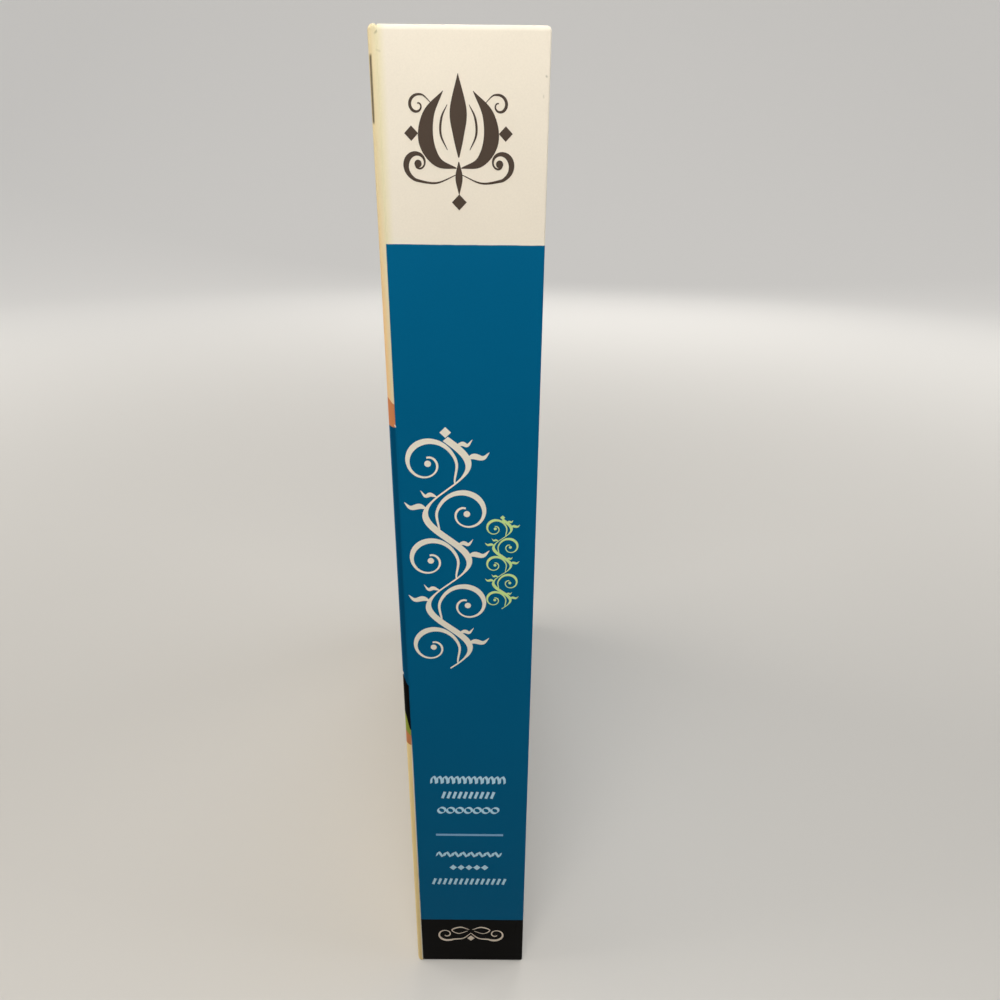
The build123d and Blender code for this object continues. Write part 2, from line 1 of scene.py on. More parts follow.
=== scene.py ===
# %% [markdown]
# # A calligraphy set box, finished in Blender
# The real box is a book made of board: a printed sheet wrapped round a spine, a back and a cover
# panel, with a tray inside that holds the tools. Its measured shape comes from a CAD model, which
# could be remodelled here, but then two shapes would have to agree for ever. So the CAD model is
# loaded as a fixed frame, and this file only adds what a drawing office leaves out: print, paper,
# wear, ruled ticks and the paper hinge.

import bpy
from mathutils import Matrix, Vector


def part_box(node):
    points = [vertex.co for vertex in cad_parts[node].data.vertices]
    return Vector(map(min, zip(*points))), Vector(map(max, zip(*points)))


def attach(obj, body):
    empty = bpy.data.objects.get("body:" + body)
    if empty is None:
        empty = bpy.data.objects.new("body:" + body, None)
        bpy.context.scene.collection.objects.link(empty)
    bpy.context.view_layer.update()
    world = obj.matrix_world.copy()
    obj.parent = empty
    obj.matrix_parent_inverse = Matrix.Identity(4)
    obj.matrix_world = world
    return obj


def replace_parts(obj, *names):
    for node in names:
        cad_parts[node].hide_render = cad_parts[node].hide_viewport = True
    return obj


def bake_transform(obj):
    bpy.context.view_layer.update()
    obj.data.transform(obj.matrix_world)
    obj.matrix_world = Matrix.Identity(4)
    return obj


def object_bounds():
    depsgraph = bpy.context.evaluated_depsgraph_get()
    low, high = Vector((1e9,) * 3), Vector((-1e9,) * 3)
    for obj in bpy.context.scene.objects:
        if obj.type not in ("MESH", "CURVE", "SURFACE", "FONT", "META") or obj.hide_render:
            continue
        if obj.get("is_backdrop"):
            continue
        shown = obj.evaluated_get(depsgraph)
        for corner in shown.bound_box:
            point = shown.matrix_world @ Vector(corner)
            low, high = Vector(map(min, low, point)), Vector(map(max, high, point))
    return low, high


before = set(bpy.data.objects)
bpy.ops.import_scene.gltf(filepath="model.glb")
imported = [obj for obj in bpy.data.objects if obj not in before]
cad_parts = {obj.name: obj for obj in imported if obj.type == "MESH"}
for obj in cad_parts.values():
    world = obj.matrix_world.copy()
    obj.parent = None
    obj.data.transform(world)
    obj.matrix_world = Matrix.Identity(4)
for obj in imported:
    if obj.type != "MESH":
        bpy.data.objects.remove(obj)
cad_low, cad_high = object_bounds()
print("box from", tuple(round(v, 4) for v in cad_low), "to", tuple(round(v, 4) for v in cad_high))

# %% Modules and the unit
import math
import random
from functools import partialmethod

import bmesh
import bpy
import numpy as np
from mathutils import Matrix, Vector

MM = 0.001  # every length below is written in millimetres and scaled by this


def box_mm(node):
    """The lowest and the highest corner of a measured piece, in millimetres."""
    return [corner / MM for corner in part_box(node)]


def in_scene(name, data):
    """A new object in the scene."""
    thing = bpy.data.objects.new(name, data)
    bpy.context.scene.collection.objects.link(thing)
    return thing


print("the box is", [round((h - l) / MM, 1) for l, h in zip(cad_low, cad_high)], "mm")

# %% [markdown]
# ## The camera
# A tall thin box seen from a little above narrows towards its foot. That comes from standing close
# with a wide lens, so the camera is placed by its real position and angles. A tracking constraint
# would be quicker, but it can't hold the view's slight roll.

# %% Place the camera
CAMERA_SPOT = Vector((8.83, -277.41, 254.13)) * MM
PITCH_DOWN, TURN_RIGHT, ROLL = math.radians(23.736), math.radians(0.077), math.radians(0.561)
LENS_MM, SENSOR_MM, NEAREST_SEEN = 25.99, 36, 0.01

looking = Vector((math.sin(TURN_RIGHT) * math.cos(PITCH_DOWN),
                  math.cos(TURN_RIGHT) * math.cos(PITCH_DOWN),
                  -math.sin(PITCH_DOWN)))
level_right = looking.cross(Vector((0, 0, 1))).normalized()
level_up = level_right.cross(looking)
camera_right = math.cos(ROLL) * level_right + math.sin(ROLL) * level_up
camera_up = math.cos(ROLL) * level_up - math.sin(ROLL) * level_right

camera = in_scene("camera", bpy.data.cameras.new("camera"))
camera.data.lens, camera.data.sensor_width = LENS_MM, SENSOR_MM
camera.data.clip_start = NEAREST_SEEN
camera.matrix_world = Matrix.Translation(CAMERA_SPOT) @ Matrix(
    (camera_right, camera_up, -looking)).transposed().to_4x4()
bpy.context.scene.camera = camera
print("camera looks along", tuple(round(v, 3) for v in looking))

# %% [markdown]
# ## Colours and node graphs
# Screen colours are stored with a curve, while a renderer adds light in plain proportion, so each
# colour is turned back before use. Materials are graphs of many small nodes. Adding each by hand
# takes four lines, so a small class gives one call for a node, a sum, a blend and a noise.

# %% Colours
CREAM, PARCHMENT, BUFF, TAN, YELLOWED = "#EDE4D3", "#DECBA0", "#EDC48C", "#FADFA0", "#E6DCB8"
# The second blue is painted shade, for the blue field where the sheet rounds the fold.
BLUE, PAINTED_FOLD_SHADE_BLUE, RULED_BLUE = "#005F88", "#004B6E", "#8FAAC4"
BLACK, BROWN, ORANGE, GREEN = "#060504", "#433A2C", "#CE8455", "#98A243"
# The first white is bare paper where the print is worn off, and also painted highlights on the cover's
# edge and along the fold.
BARE_PAPER_AND_HIGHLIGHT, LINING = "#F3EEDF", "#EBE2CB"


def tint(code, share=1.0, lift=0.0):
    """A screen colour such as "#1E90FF" as the renderer's red, green, blue and alpha.
    It is dimmed to a share of itself and lifted, if they are given."""
    parts = [int(code[i:i + 2], 16) / 255 for i in (1, 3, 5)]
    parts = [c / 12.92 if c <= 0.04045 else ((c + 0.055) / 1.055) ** 2.4 for c in parts]
    return [lift + share * c for c in parts] + [1.0]


print("the blue of the field is", [round(c, 3) for c in tint(BLUE)])


# %% A graph of nodes
class Graph:
    """Adds nodes to a tree and joins them. A colour is a screen code or four numbers."""

    def __init__(self, tree):
        self.tree = tree

    def put(self, value, socket):
        """Joins another node's output to a socket, or sets the socket to a plain value."""
        if isinstance(value, bpy.types.NodeSocket):
            self.tree.links.new(value, socket)
        else:
            socket.default_value = tint(value) if isinstance(value, str) else value

    def add(self, kind, inputs=None, **settings):
        """A new node, with inputs by label or number and settings by name."""
        node = self.tree.nodes.new("ShaderNode" + kind)
        for key, value in settings.items():
            setattr(node, key, value)
        for key, value in (inputs or {}).items():
            self.put(value, node.inputs[key])
        return node

    def calc(self, operation, *values, clamp=False):
        inputs = dict(enumerate(values))
        return self.add("Math", inputs, operation=operation, use_clamp=clamp).outputs[0]

    plus, minus = partialmethod(calc, "ADD"), partialmethod(calc, "SUBTRACT")
    times, most = partialmethod(calc, "MULTIPLY"), partialmethod(calc, "MAXIMUM")

    def apart(self, a, b):
        """How far one value is from another, on either side."""
        return self.calc("ABSOLUTE", self.minus(a, b))

    def weighed(self, share, a, b):
        """A share of the first value and the rest of the second."""
        return self.plus(self.times(a, share), self.times(b, 1.0 - share))

    def ramp(self, value, low, high, start=0.0, end=1.0):
        """Runs from start to end as the value runs from low to high, and holds outside."""
        inputs = {"Value": value, "From Min": low, "From Max": high, "To Min": start, "To Max": end}
        return self.add("MapRange", inputs, interpolation_type="SMOOTHSTEP").outputs[0]

    def fade(self, value, low, high):
        """Runs down from one to nothing."""
        return self.ramp(value, low, high, 1.0, 0.0)

    def spread(self, noise, start=0.0, end=1.0):
        """The middle of a noise stretched to run from start to end."""
        return self.ramp(noise, 0.3, 0.7, start, end)

    def wave(self, value, pitch):
        return self.calc("SINE", self.times(value, 2 * math.pi / pitch))

    def mix(self, share, first, second):
        inputs = {0: share, 6: first, 7: second}
        return self.add("Mix", inputs, data_type="RGBA").outputs[2]

    def noise(self, vector, scale, detail=3.0, roughness=0.5):
        inputs = {"Vector": vector, "Scale": scale, "Detail": detail, "Roughness": roughness}
        return self.add("TexNoise", inputs).outputs[0]

    def stretched(self, vector, scale):
        return self.add("Mapping", {"Vector": vector, "Scale": scale}).outputs[0]

    def axes(self, vector):
        return self.add("SeparateXYZ", {0: vector}).outputs

    def vector_calc(self, operation, *vectors):
        return self.add("VectorMath", dict(enumerate(vectors)), operation=operation).outputs


print("node helpers:", ", ".join(name for name in vars(Graph) if name[0] != "_"))


# %% A material to start from
class Plain(Graph):
    """A new material: its graph, its point in space, and its Principled shader's sockets."""

    def __init__(self, name, roughness=0.5, **sockets):
        self.material = bpy.data.materials.new(name)
        self.material.use_nodes = True
        super().__init__(self.material.node_tree)
        self.shader = self.tree.nodes["Principled BSDF"].inputs
        for label, value in {"Roughness": roughness, **sockets}.items():
            self.shader[label.replace("_", " ")].default_value = value
        space = self.add("TexCoord").outputs
        self.point, self.normal = space["Object"], space["Normal"]

    def colour(self, source):
        self.put(source, self.shader["Base Color"])

    def rough(self, source):
        self.put(source, self.shader["Roughness"])

    def relief(self, height, strength, distance):
        """Turns a height into small dents by way of the shader's normal."""
        inputs = {"Height": height, "Strength": strength, "Distance": distance * MM}
        self.put(self.add("Bump", inputs).outputs[0], self.shader["Normal"])


print("a material adds:", ", ".join(name for name in vars(Plain) if name[0] != "_"))

# %% [markdown]
# ## Floor and light
# The box is shown on a plain pale sheet under soft studio light. A lamp close above and in front
# makes the spine brighter at its head than at its foot, and four large lamps stand round it. The
# sheet could be lit until it is white, but that would wash out the box too. So the sheet is painted
# pale to the eye, throws a duller light back on the box, and its walls glow a little. It curves up
# all round, like the inside of a bowl, because a sheet bent up on one side alone shows its edges.

# %% The sheet's shape
FLAT_RADIUS, BEND_RADIUS, RIM_HEIGHT = 1.7, 0.9, 2.4  # metres
BEND_STEPS, SPOKES = 16, 96


def tube_faces(ring, rings, start=0):
    """Quads between rings of points, each ring joined to the next."""
    return [(start + j * ring + i, start + j * ring + (i + 1) % ring,
             start + (j + 1) * ring + (i + 1) % ring, start + (j + 1) * ring + i)
            for j in range(rings - 1) for i in range(ring)]


def shell(name, points, faces, material, smooth_shaded):
    """A mesh in the scene, from points in metres."""
    mesh = bpy.data.meshes.new(name)
    mesh.from_pydata([tuple(p) for p in points], [], faces)
    if smooth_shaded:
        mesh.shade_smooth()
    mesh.materials.append(material)
    return in_scene(name, mesh)


bend = [math.radians(90 * step / BEND_STEPS) for step in range(BEND_STEPS + 1)]
profile = [(0.45 * FLAT_RADIUS, 0.0)]
profile += [(FLAT_RADIUS + BEND_RADIUS * math.sin(a), BEND_RADIUS * (1 - math.cos(a))) for a in bend]
profile.append((FLAT_RADIUS + BEND_RADIUS, RIM_HEIGHT))
spokes = [2 * math.pi * c / SPOKES for c in range(SPOKES)]
sheet_points = [(0.0, 0.0, 0.0)]
sheet_points += [(r * math.cos(turn), r * math.sin(turn), z) for r, z in profile for turn in spokes]
sheet_faces = [(0, 1 + c, 1 + (c + 1) % SPOKES) for c in range(SPOKES)]
sheet_faces += [face[:1] + face[:0:-1] for face in tube_faces(SPOKES, len(profile), 1)]
print("sheet of", len(sheet_faces), "faces")

# %% The sheet's paint and glow
FLOOR_COLOUR, BOUNCE_COLOUR = "#C2BEB7", "#8C8882"  # as the eye sees it, and as the box sees it
FLOOR_GLOW, WALL_GLOW = 0.12, 0.44


def rays_to_the_eye(graph):
    """One for rays that the eye follows, straight or by way of metal and glass."""
    rays = graph.add("LightPath").outputs
    seen = graph.most(rays["Is Camera Ray"], rays["Is Glossy Ray"])
    return graph.most(seen, rays["Is Transmission Ray"])


look = Plain("studio_sheet", 0.9, Specular_IOR_Level=0.1, Emission_Color=(1.0, 0.985, 0.96, 1.0))
seen = rays_to_the_eye(look)
look.colour(look.mix(seen, BOUNCE_COLOUR, FLOOR_COLOUR))
# The glow rises outwards, where the lamps reach the sheet less and less.
outwards = look.vector_calc("LENGTH", look.point)["Value"]
glow = look.times(seen, look.ramp(outwards, 0.3, FLAT_RADIUS, FLOOR_GLOW, WALL_GLOW))
look.put(glow, look.shader["Emission Strength"])
sheet = shell("studio_sheet", sheet_points, sheet_faces, look.material, True)
sheet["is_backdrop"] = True
print("sheet", [round(v, 2) for v in sheet.dimensions])

# %% Lamps and sky
# Each lamp is a square: its name, spot, target, size in metres, watts and colour.
BOX_MIDDLE = (0, 0, 0.1)
for name, spot, target, size, watts, colour in (
        ("lamp_over_spine", (-0.03, -0.35, 0.455), (0, -0.1, 0.2), 0.25, 1.22, (1.0, 0.98, 0.95)),
        ("lamp_left", (-1.3, 0.15, 0.9), BOX_MIDDLE, 1.1, 12.0, (1.0, 0.99, 0.97)),
        ("lamp_right", (1.3, 0.15, 0.9), BOX_MIDDLE, 1.1, 10.0, (0.98, 0.99, 1.0)),
        ("lamp_behind", (0.2, 1.2, 0.9), BOX_MIDDLE, 1.1, 8.0, (1.0, 1.0, 1.0)),
        ("lamp_in_front", (0.0, -1.5, 0.9), BOX_MIDDLE, 1.1, 0.8, (1.0, 1.0, 1.0))):
    lamp = in_scene(name, bpy.data.lights.new(name, "AREA"))
    lamp.data.size, lamp.data.energy, lamp.data.color = size, watts, colour
    lamp.location, lamp.visible_camera = spot, False
    lamp.rotation_euler = (Vector(target) - Vector(spot)).to_track_quat("-Z", "Y").to_euler()
    print(name, watts, "W")

LAMP_SKY, SEEN_SKY = 0.17, 0.9  # how strongly the sky lights the box, and how bright it looks
sky = bpy.data.worlds.new("studio_sky")
bpy.context.scene.world = sky
sky.use_nodes = True
sky.node_tree.nodes.clear()
graph = Graph(sky.node_tree)
skies = [graph.add("Background", {"Color": "#FFFFFF", "Strength": strength}).outputs[0]
         for strength in (LAMP_SKY, SEEN_SKY)]
both = graph.add("MixShader", {0: rays_to_the_eye(graph), 1: skies[0], 2: skies[1]}).outputs[0]
graph.add("OutputWorld", {"Surface": both})
bpy.context.scene.view_settings.view_transform = "Standard"

# %% [markdown]
# ## Effects that several finishes share
# Paper tooth, rubbed edges, uneven ink, hairline scratches and settled dust turn up on many of the
# pieces. Each is one node group with named inputs, so that a change to it reaches every material.
# Painted image maps could do the same, but a group has no resolution and needs no unwrapping.

# %% How a group is made
SOCKET_KINDS = {"Colour": "Color", "Vector": "Vector", "Centre": "Vector", "Half Size": "Vector"}


def shared_effect(name, inputs, outputs):
    """A new node group: it has a Vector input, the inputs (label: default) and the outputs."""
    tree = bpy.data.node_groups.new(name, "ShaderNodeTree")
    sockets = [("INPUT", item) for item in {"Vector": None, **inputs}.items()]
    sockets += [("OUTPUT", (label, None)) for label in outputs]
    for side, (label, default) in sockets:
        kind = "NodeSocket" + SOCKET_KINDS.get(label, "Float")
        socket = tree.interface.new_socket(label, in_out=side, socket_type=kind)
        if default is not None:
            socket.default_value = default
    print("group", name, "gives", ", ".join(outputs))
    given = tree.nodes.new("NodeGroupInput").outputs
    return tree, Graph(tree), given, tree.nodes.new("NodeGroupOutput").inputs


# %% Paper tooth: fine lumps and crossing fibres
paper_tooth, graph, given, result = shared_effect("paper_tooth", {"Scale": 1800.0}, ("Height", "Tone"))
lumps = graph.noise(given["Vector"], given["Scale"], 4.0, 0.6)
fibres = graph.noise(graph.stretched(given["Vector"], (0.2, 0.25, 1.0)), given["Scale"], 2.0)
clouds = graph.noise(given["Vector"], 45.0, 4.0, 0.6)
height = graph.weighed(0.6, lumps, fibres)
graph.put(height, result["Height"])
graph.put(graph.weighed(0.8, height, clouds), result["Tone"])

# %% Rubbed edges: how near a point is to the edges of a slab
rubbed_edge, graph, given, result = shared_effect("rubbed_edge", {
    "Centre": (0, 0, 0), "Half Size": (0.1, 0.1, 0.1), "Width": 0.5 * MM}, ["Mask"])
away = graph.vector_calc("SUBTRACT", given["Vector"], given["Centre"])[0]
away = graph.vector_calc("ABSOLUTE", away)[0]
a, b, c = graph.axes(graph.vector_calc("SUBTRACT", given["Half Size"], away)[0])
# A point on a face is at zero from that face, so the middle of the three is its nearest edge.
nearest = graph.most(graph.calc("MINIMUM", a, b), graph.calc("MINIMUM", graph.most(a, b), c))
patchy = graph.calc("POWER", graph.ramp(graph.noise(given["Vector"], 260.0, 6.0, 0.7), 0.3, 0.75), 1.5)
reach = graph.times(given["Width"], graph.plus(patchy, 0.15))
graph.put(graph.fade(graph.calc("DIVIDE", nearest, reach), 0.5, 1.3), result["Mask"])

# %% Uneven ink: a printed colour that is never quite flat
uneven_ink, graph, given, result = shared_effect(
    "uneven_ink", {"Colour": None, "Amount": 0.08}, ["Colour"])
wide = graph.noise(given["Vector"], 30.0, 3.0, 0.5)
fine = graph.noise(given["Vector"], 2600.0, 2.0, 0.5)
swing = graph.times(graph.minus(graph.weighed(0.6, wide, fine), 0.5), given["Amount"])
value = graph.plus(1.0, graph.times(swing, 2.0))
inputs = {"Hue": 0.5, "Saturation": 1.0, "Value": value, "Color": given["Colour"]}
graph.put(graph.add("HueSaturation", inputs).outputs[0], result["Colour"])

# %% Hairline scratches: where a noise drawn out lengthwise crosses its middle value
hairlines, graph, given, result = shared_effect("hairline_scratches", {"Scale": 140.0}, ["Mask"])
masks = []
for turn in (0.35, 1.25, 2.3):
    turned = graph.add("Mapping", {"Vector": given["Vector"], "Scale": (1.0, 0.04, 1.0),
                                   "Rotation": (turn, turn * 0.7, turn * 1.3)}).outputs[0]
    thin = graph.fade(graph.apart(graph.noise(turned, given["Scale"], 1.0), 0.5), 0.0, 0.006)
    patches = graph.ramp(graph.noise(given["Vector"], 45.0 + 20.0 * turn, 2.0), 0.52, 0.68)
    masks.append(graph.times(thin, patches))
graph.put(graph.most(graph.most(masks[0], masks[1]), masks[2]), result["Mask"])

# %% Settled dust: specks on what faces up
settled_dust, graph, given, result = shared_effect("settled_dust", {"Facing": 1.0}, ["Mask"])
specks = graph.ramp(graph.noise(given["Vector"], 1500.0, 2.0, 0.8), 0.66, 0.76)
drifts = graph.ramp(graph.noise(given["Vector"], 70.0, 3.0, 0.6), 0.4, 0.7)
graph.put(graph.times(graph.times(specks, drifts), given["Facing"], clamp=True), result["Mask"])


# %% A finish that takes the shared effects
class Finish(Plain):
    """A material for one of the kit's pieces."""

    def effect(self, shared, **inputs):
        """A shared effect at this material's point, with its inputs by label."""
        inputs = {label.replace("_", " "): value for label, value in inputs.items()}
        return self.add("Group", {"Vector": self.point, **inputs}, node_tree=shared).outputs

    def uneven(self, colour, amount):
        return self.effect(uneven_ink, Colour=colour, Amount=amount)["Colour"]

    def tooth(self, scale=1500.0):
        return self.effect(paper_tooth, Scale=scale)

    def scratches(self, scale):
        return self.effect(hairlines, Scale=scale)["Mask"]

    def worn(self, centre, half_size, width):
        """Where the edges of a slab are rubbed, from its measures in millimetres."""
        return self.effect(rubbed_edge, Centre=Vector(centre) * MM, Half_Size=Vector(half_size) * MM,
                           Width=width * MM)["Mask"]


def dress(look, *nodes):
    """Gives CAD pieces a finish in place of the plain one they came with."""
    for name in nodes:
        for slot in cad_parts[name].material_slots:
            slot.material = look.material
    print(look.material.name, "on", ", ".join(nodes))


print("a finish adds:", ", ".join(name for name in vars(Finish) if name[0] != "_"))

# %% [markdown]
# ## The printed sheet
# One sheet of art paper is wrapped round all three boards. Its colours are bands at fixed heights:
# a black foot, a blue field and a cream head on the spine and back, and on the cover a parchment
# ground with a blue, a black and two narrow stripes that run round onto the cover's edge. An image
# could carry that, but it would need unwrapping and would blur close up. The bands are read from
# each point's own height instead, so the three pieces of the sheet always meet in register.

# %% Bands by height
SPINE_Y, FRONT_X, BACK_X = cad_low.y / MM, cad_low.x / MM, cad_high.x / MM
FOOT_TOP, FIELD_TOP = 21.65, 241.4  # heights of the spine's colour borders
STRIP_FOLD = -16.8  # across the spine, where the cover's print ends and the spine's begins
# Each band of the cover: its upper limit, how much lower that lies at the fold, and its colour.
COVER_BANDS = ((99.5, 0.8, TAN), (104.2, 1.8, ORANGE), (111.0, 6.6, GREEN), (124.4, 3.6, BLACK),
               (199.3, 0.5, BLUE), (206.4, 1.7, ORANGE), (400.0, 0.0, PARCHMENT))


def border(graph, height, limit, below, above):
    """One colour below a height and another above it."""
    return graph.mix(graph.ramp(height, limit - 0.06, limit + 0.06), below, above)


def stacked(graph, height, bands):
    """Colours by height: each band is (its upper limit, its colour), from the foot up."""
    colour = bands[0][1]
    for (limit, _), (_, above) in zip(bands, bands[1:]):
        colour = border(graph, height, limit, colour, above)
    return colour


print("cover bands end at", [limit for limit, _, _ in COVER_BANDS[:-1]])

# %% The sheet's print as a group, with painted shade beside the fold
sheet_print_and_shade, graph, given, result = shared_effect("sheet_print_and_shade", {"On Cover": 0.0}, ["Colour"])
across, _, height = graph.axes(
    graph.vector_calc("MULTIPLY", given["Vector"], (1000, 1000, 1000))[0])
waver = graph.times(graph.minus(graph.noise(given["Vector"], 220.0), 0.5), 0.25)
height = graph.plus(height, waver)
# The cream ground is yellower beside the fold, on both sides of it.
ground = graph.mix(graph.ramp(across, STRIP_FOLD, STRIP_FOLD + 2.2), YELLOWED, CREAM)
# The parchment ground grows warmer downwards, and yellower beside the fold.
parchment = graph.mix(graph.ramp(height, 215.0, 262.0), BUFF, PARCHMENT)
parchment = graph.mix(graph.ramp(across, FRONT_X + 0.2, STRIP_FOLD, 0.0, 0.8), parchment, YELLOWED)
# The blue is darkened by painted shade beside the fold, where the sheet rounds away from the light.
field = graph.mix(graph.fade(graph.apart(across, -17.5), 0.3, 1.0), BLUE, PAINTED_FOLD_SHADE_BLUE)
spine_side = stacked(graph, height, ((FOOT_TOP, BLACK), (FIELD_TOP, field), (400.0, ground)))
# On the cover's edge the bands run off at a slant, lower towards the fold.
to_fold = graph.ramp(across, FRONT_X, STRIP_FOLD)
cover_side = TAN
for (limit, drop, _), (_, _, above) in zip(COVER_BANDS, COVER_BANDS[1:]):
    slanted = graph.plus(height, graph.times(to_fold, drop))
    above = {BLUE: field, PARCHMENT: parchment}.get(above, above)
    cover_side = border(graph, slanted, limit, cover_side, above)
on_spine = graph.ramp(across, STRIP_FOLD - 0.03, STRIP_FOLD + 0.03)
on_spine = graph.minus(on_spine, given["On Cover"], clamp=True)
graph.put(graph.mix(on_spine, cover_side, spine_side), result["Colour"])


# %% Soft lines for painted crease shade, painted highlights, chips and dark lines
def soft_line(graph, x, z, start, end, width):
    """A soft line from one (x, z) to another, in millimetres, as a mask."""
    along = Vector((end[0] - start[0], end[1] - start[1]))
    half = along.length / 2
    along.normalize()
    u, v = graph.minus(x, start[0] * MM), graph.minus(z, start[1] * MM)
    aside = graph.apart(graph.times(u, along.y), graph.times(v, along.x))
    onward = graph.plus(graph.times(u, along.x), graph.times(v, along.y))
    past = graph.apart(onward, half * MM)
    return graph.times(graph.fade(aside, 0.2 * width * MM, width * MM),
                       graph.fade(past, (half - width) * MM, (half + width) * MM))


print("creases, chips and nicks are drawn as masks")

# %% Printed and laminated paper
SHEEN = 0.04  # printed paper barely mirrors, so that its black stays black


def wrapped_board(name, centre, half_size, wear_width, on_cover, marks):
    """The printed sheet on one board. on_cover is 1 for the cover's print, and marks are soft lines
    on the spine side: (start, end, width, share, colour) in millimetres of (x, z)."""
    look = Finish(name, 0.45, Specular_IOR_Level=SHEEN)
    tooth, worn = look.tooth(), look.worn(centre, half_size, wear_width)
    printed = look.uneven(look.effect(sheet_print_and_shade, On_Cover=on_cover)["Colour"], 0.10)
    printed = look.mix(look.times(worn, 0.5), printed, BARE_PAPER_AND_HIGHLIGHT)
    x, y, z = look.axes(look.point)
    spineward = look.fade(y, (SPINE_Y + 1.1) * MM, (SPINE_Y + 1.7) * MM)
    for start, end, width, share, colour in marks:
        line = look.times(soft_line(look, x, z, start, end, width), share)
        printed = look.mix(look.times(line, spineward), printed, colour)
    look.colour(printed)
    look.rough(look.plus(look.spread(tooth["Tone"], 0.38, 0.5),
                         look.times(look.most(worn, look.scratches(70.0)), 0.25)))
    look.relief(tooth["Height"], 0.12, 0.04)
    return look


# The grey marks near the spine's head are painted shade in small creases.
CREASE_SHADE_GREY = "#A39C86"
dress(wrapped_board("printed_case_paper", (1.05, 0, 141.5), (17.45, 108, 141.5), 0.16, 0.0, (
    ((17.6, 274.1), (17.85, 273.9), 0.3, 0.8, CREASE_SHADE_GREY),
    ((17.2, 270.7), (17.25, 270.1), 0.25, 0.3, CREASE_SHADE_GREY))), "case_wrap")
dress(wrapped_board("printed_cover_paper", (-17.6, 0, 141.5), (0.9, 108, 141.5), 0.14, 1.0, (
    ((-18.1, 265.2), (-18.02, 277.6), 0.4, 0.85, BROWN),
    # The white touch at the top of the black band is a painted highlight.
    ((-18.35, 125.3), (-18.25, 124.5), 0.25, 1.0, BARE_PAPER_AND_HIGHLIGHT))), "cover_wrap")

# %% [markdown]
# ## The boards and papers inside
# Greyboard is pressed waste paper: a dull warm grey with darker flecks, seen only where boards are
# left bare. The tray and the cover's inside are papered in plain cream stock. The lining could be
# left flat, but a practice kit has faint writing lines there, so thin lines are taken from the
# height of each point.

# %% Greyboard, tray paper and lining
LINE_PITCH = 9.0  # between two writing lines


def plain_paper(name, colour, flecks=0.0, ruled=0.0):
    """Uncoated stock, with optional darker flecks and faint ruled lines."""
    look = Finish(name, 0.85)
    tooth = look.tooth(1300.0)
    shade = look.mix(look.spread(tooth["Tone"]), tint(colour, 0.95), colour)
    if flecks:
        fleck = look.ramp(look.noise(look.point, 420.0, 5.0, 0.8), 0.58, 0.68)
        shade = look.mix(look.times(fleck, flecks), shade, BROWN)
    if ruled:
        lines_up = look.calc("DIVIDE", look.axes(look.point)[2], LINE_PITCH * MM)
        from_line = look.apart(look.calc("FRACT", lines_up), 0.5)
        shade = look.mix(look.ramp(from_line, 0.010, 0.022, ruled, 0.0), shade, RULED_BLUE)
    look.colour(shade)
    look.relief(tooth["Height"], 0.35, 0.06)
    return look


dress(plain_paper("greyboard", "#A39C8F", flecks=0.45), "cover_board", "spine_board", "back_board",
      "tray_head_wall", "tray_tail_wall", "tray_fore_edge_wall", "tray_spine_wall", "pad_backing")
dress(plain_paper("tray_paper", "#EADFC6"), "tray_paper")
dress(plain_paper("lining_paper", LINING, ruled=0.35), "cover_lining", "tray_floor_lining")

# Such a nib is a flat edge held at one angle: it draws thick across that angle and thin along it.
# Text objects or traced outlines could give letter shapes, but the box carries ornament and no
# words, so the pen itself is worked out here. A smooth path is swept by a flat edge, and each
# stroke becomes a thin closed slip of ink that lies on its paper.

# %% Smooth paths
def smooth(points, per_span=10):
    """A curve through every point, sampled evenly in each span."""
    p = np.array(points, float)
    p = np.vstack([2 * p[0] - p[1], p, 2 * p[-1] - p[-2]])
    t = np.linspace(0, 1, per_span, endpoint=False)[:, None]
    spans = []
    for i in range(1, len(p) - 2):
        a, b, c, d = p[i - 1:i + 3]
        spans.append(0.5 * (2 * b + (c - a) * t + (2 * a - 5 * b + 4 * c - d) * t ** 2
                            + (3 * b - a - 3 * c + d) * t ** 3))
    return np.vstack(spans + [p[-2:-1]])


def spiral(centre, start_radius, end_radius, start_degrees, turns, count=14):
    """Points that wind in (or out) about a centre; negative turns wind clockwise."""
    steps = np.linspace(0, 1, max(5, int(count * abs(turns))))
    angles = np.radians(start_degrees) + 2 * np.pi * turns * steps
    radii = start_radius + (end_radius - start_radius) * steps ** 0.8
    return np.stack([centre[0] + radii * np.cos(angles), centre[1] + radii * np.sin(angles)], 1)


def course(path):
    """The direction of a path at each of its points, and the direction to its left."""
    heading = np.gradient(path, axis=0)
    heading /= np.linalg.norm(heading, axis=1)[:, None] + 1e-9
    return heading, np.stack([-heading[:, 1], heading[:, 0]], 1)


print("a spiral of one turn has", len(spiral((0, 0), 1, 1, 0, 1)), "points")


# %% Printing inks
def ink(name, colour):
    """Flat printing ink on laminated paper, slightly uneven."""
    look = Finish("ink_" + name, 0.45, Specular_IOR_Level=SHEEN)
    look.colour(look.uneven(colour, 0.14))
    look.relief(look.tooth()["Height"], 0.12, 0.04)
    return look.material


INKS = {name: ink(name, code) for name, code in (
    ("brown", "#4F433A"), ("cream", "#F3EDDB"), ("ivory", "#E8DAC8"), ("lime", "#CDEC9C"),
    ("pale_blue", "#C2E8FA"), ("soft_blue", "#8BB9DD"), ("tan", "#B79A68"), ("black", BLACK))}
print("inks:", ", ".join(INKS))


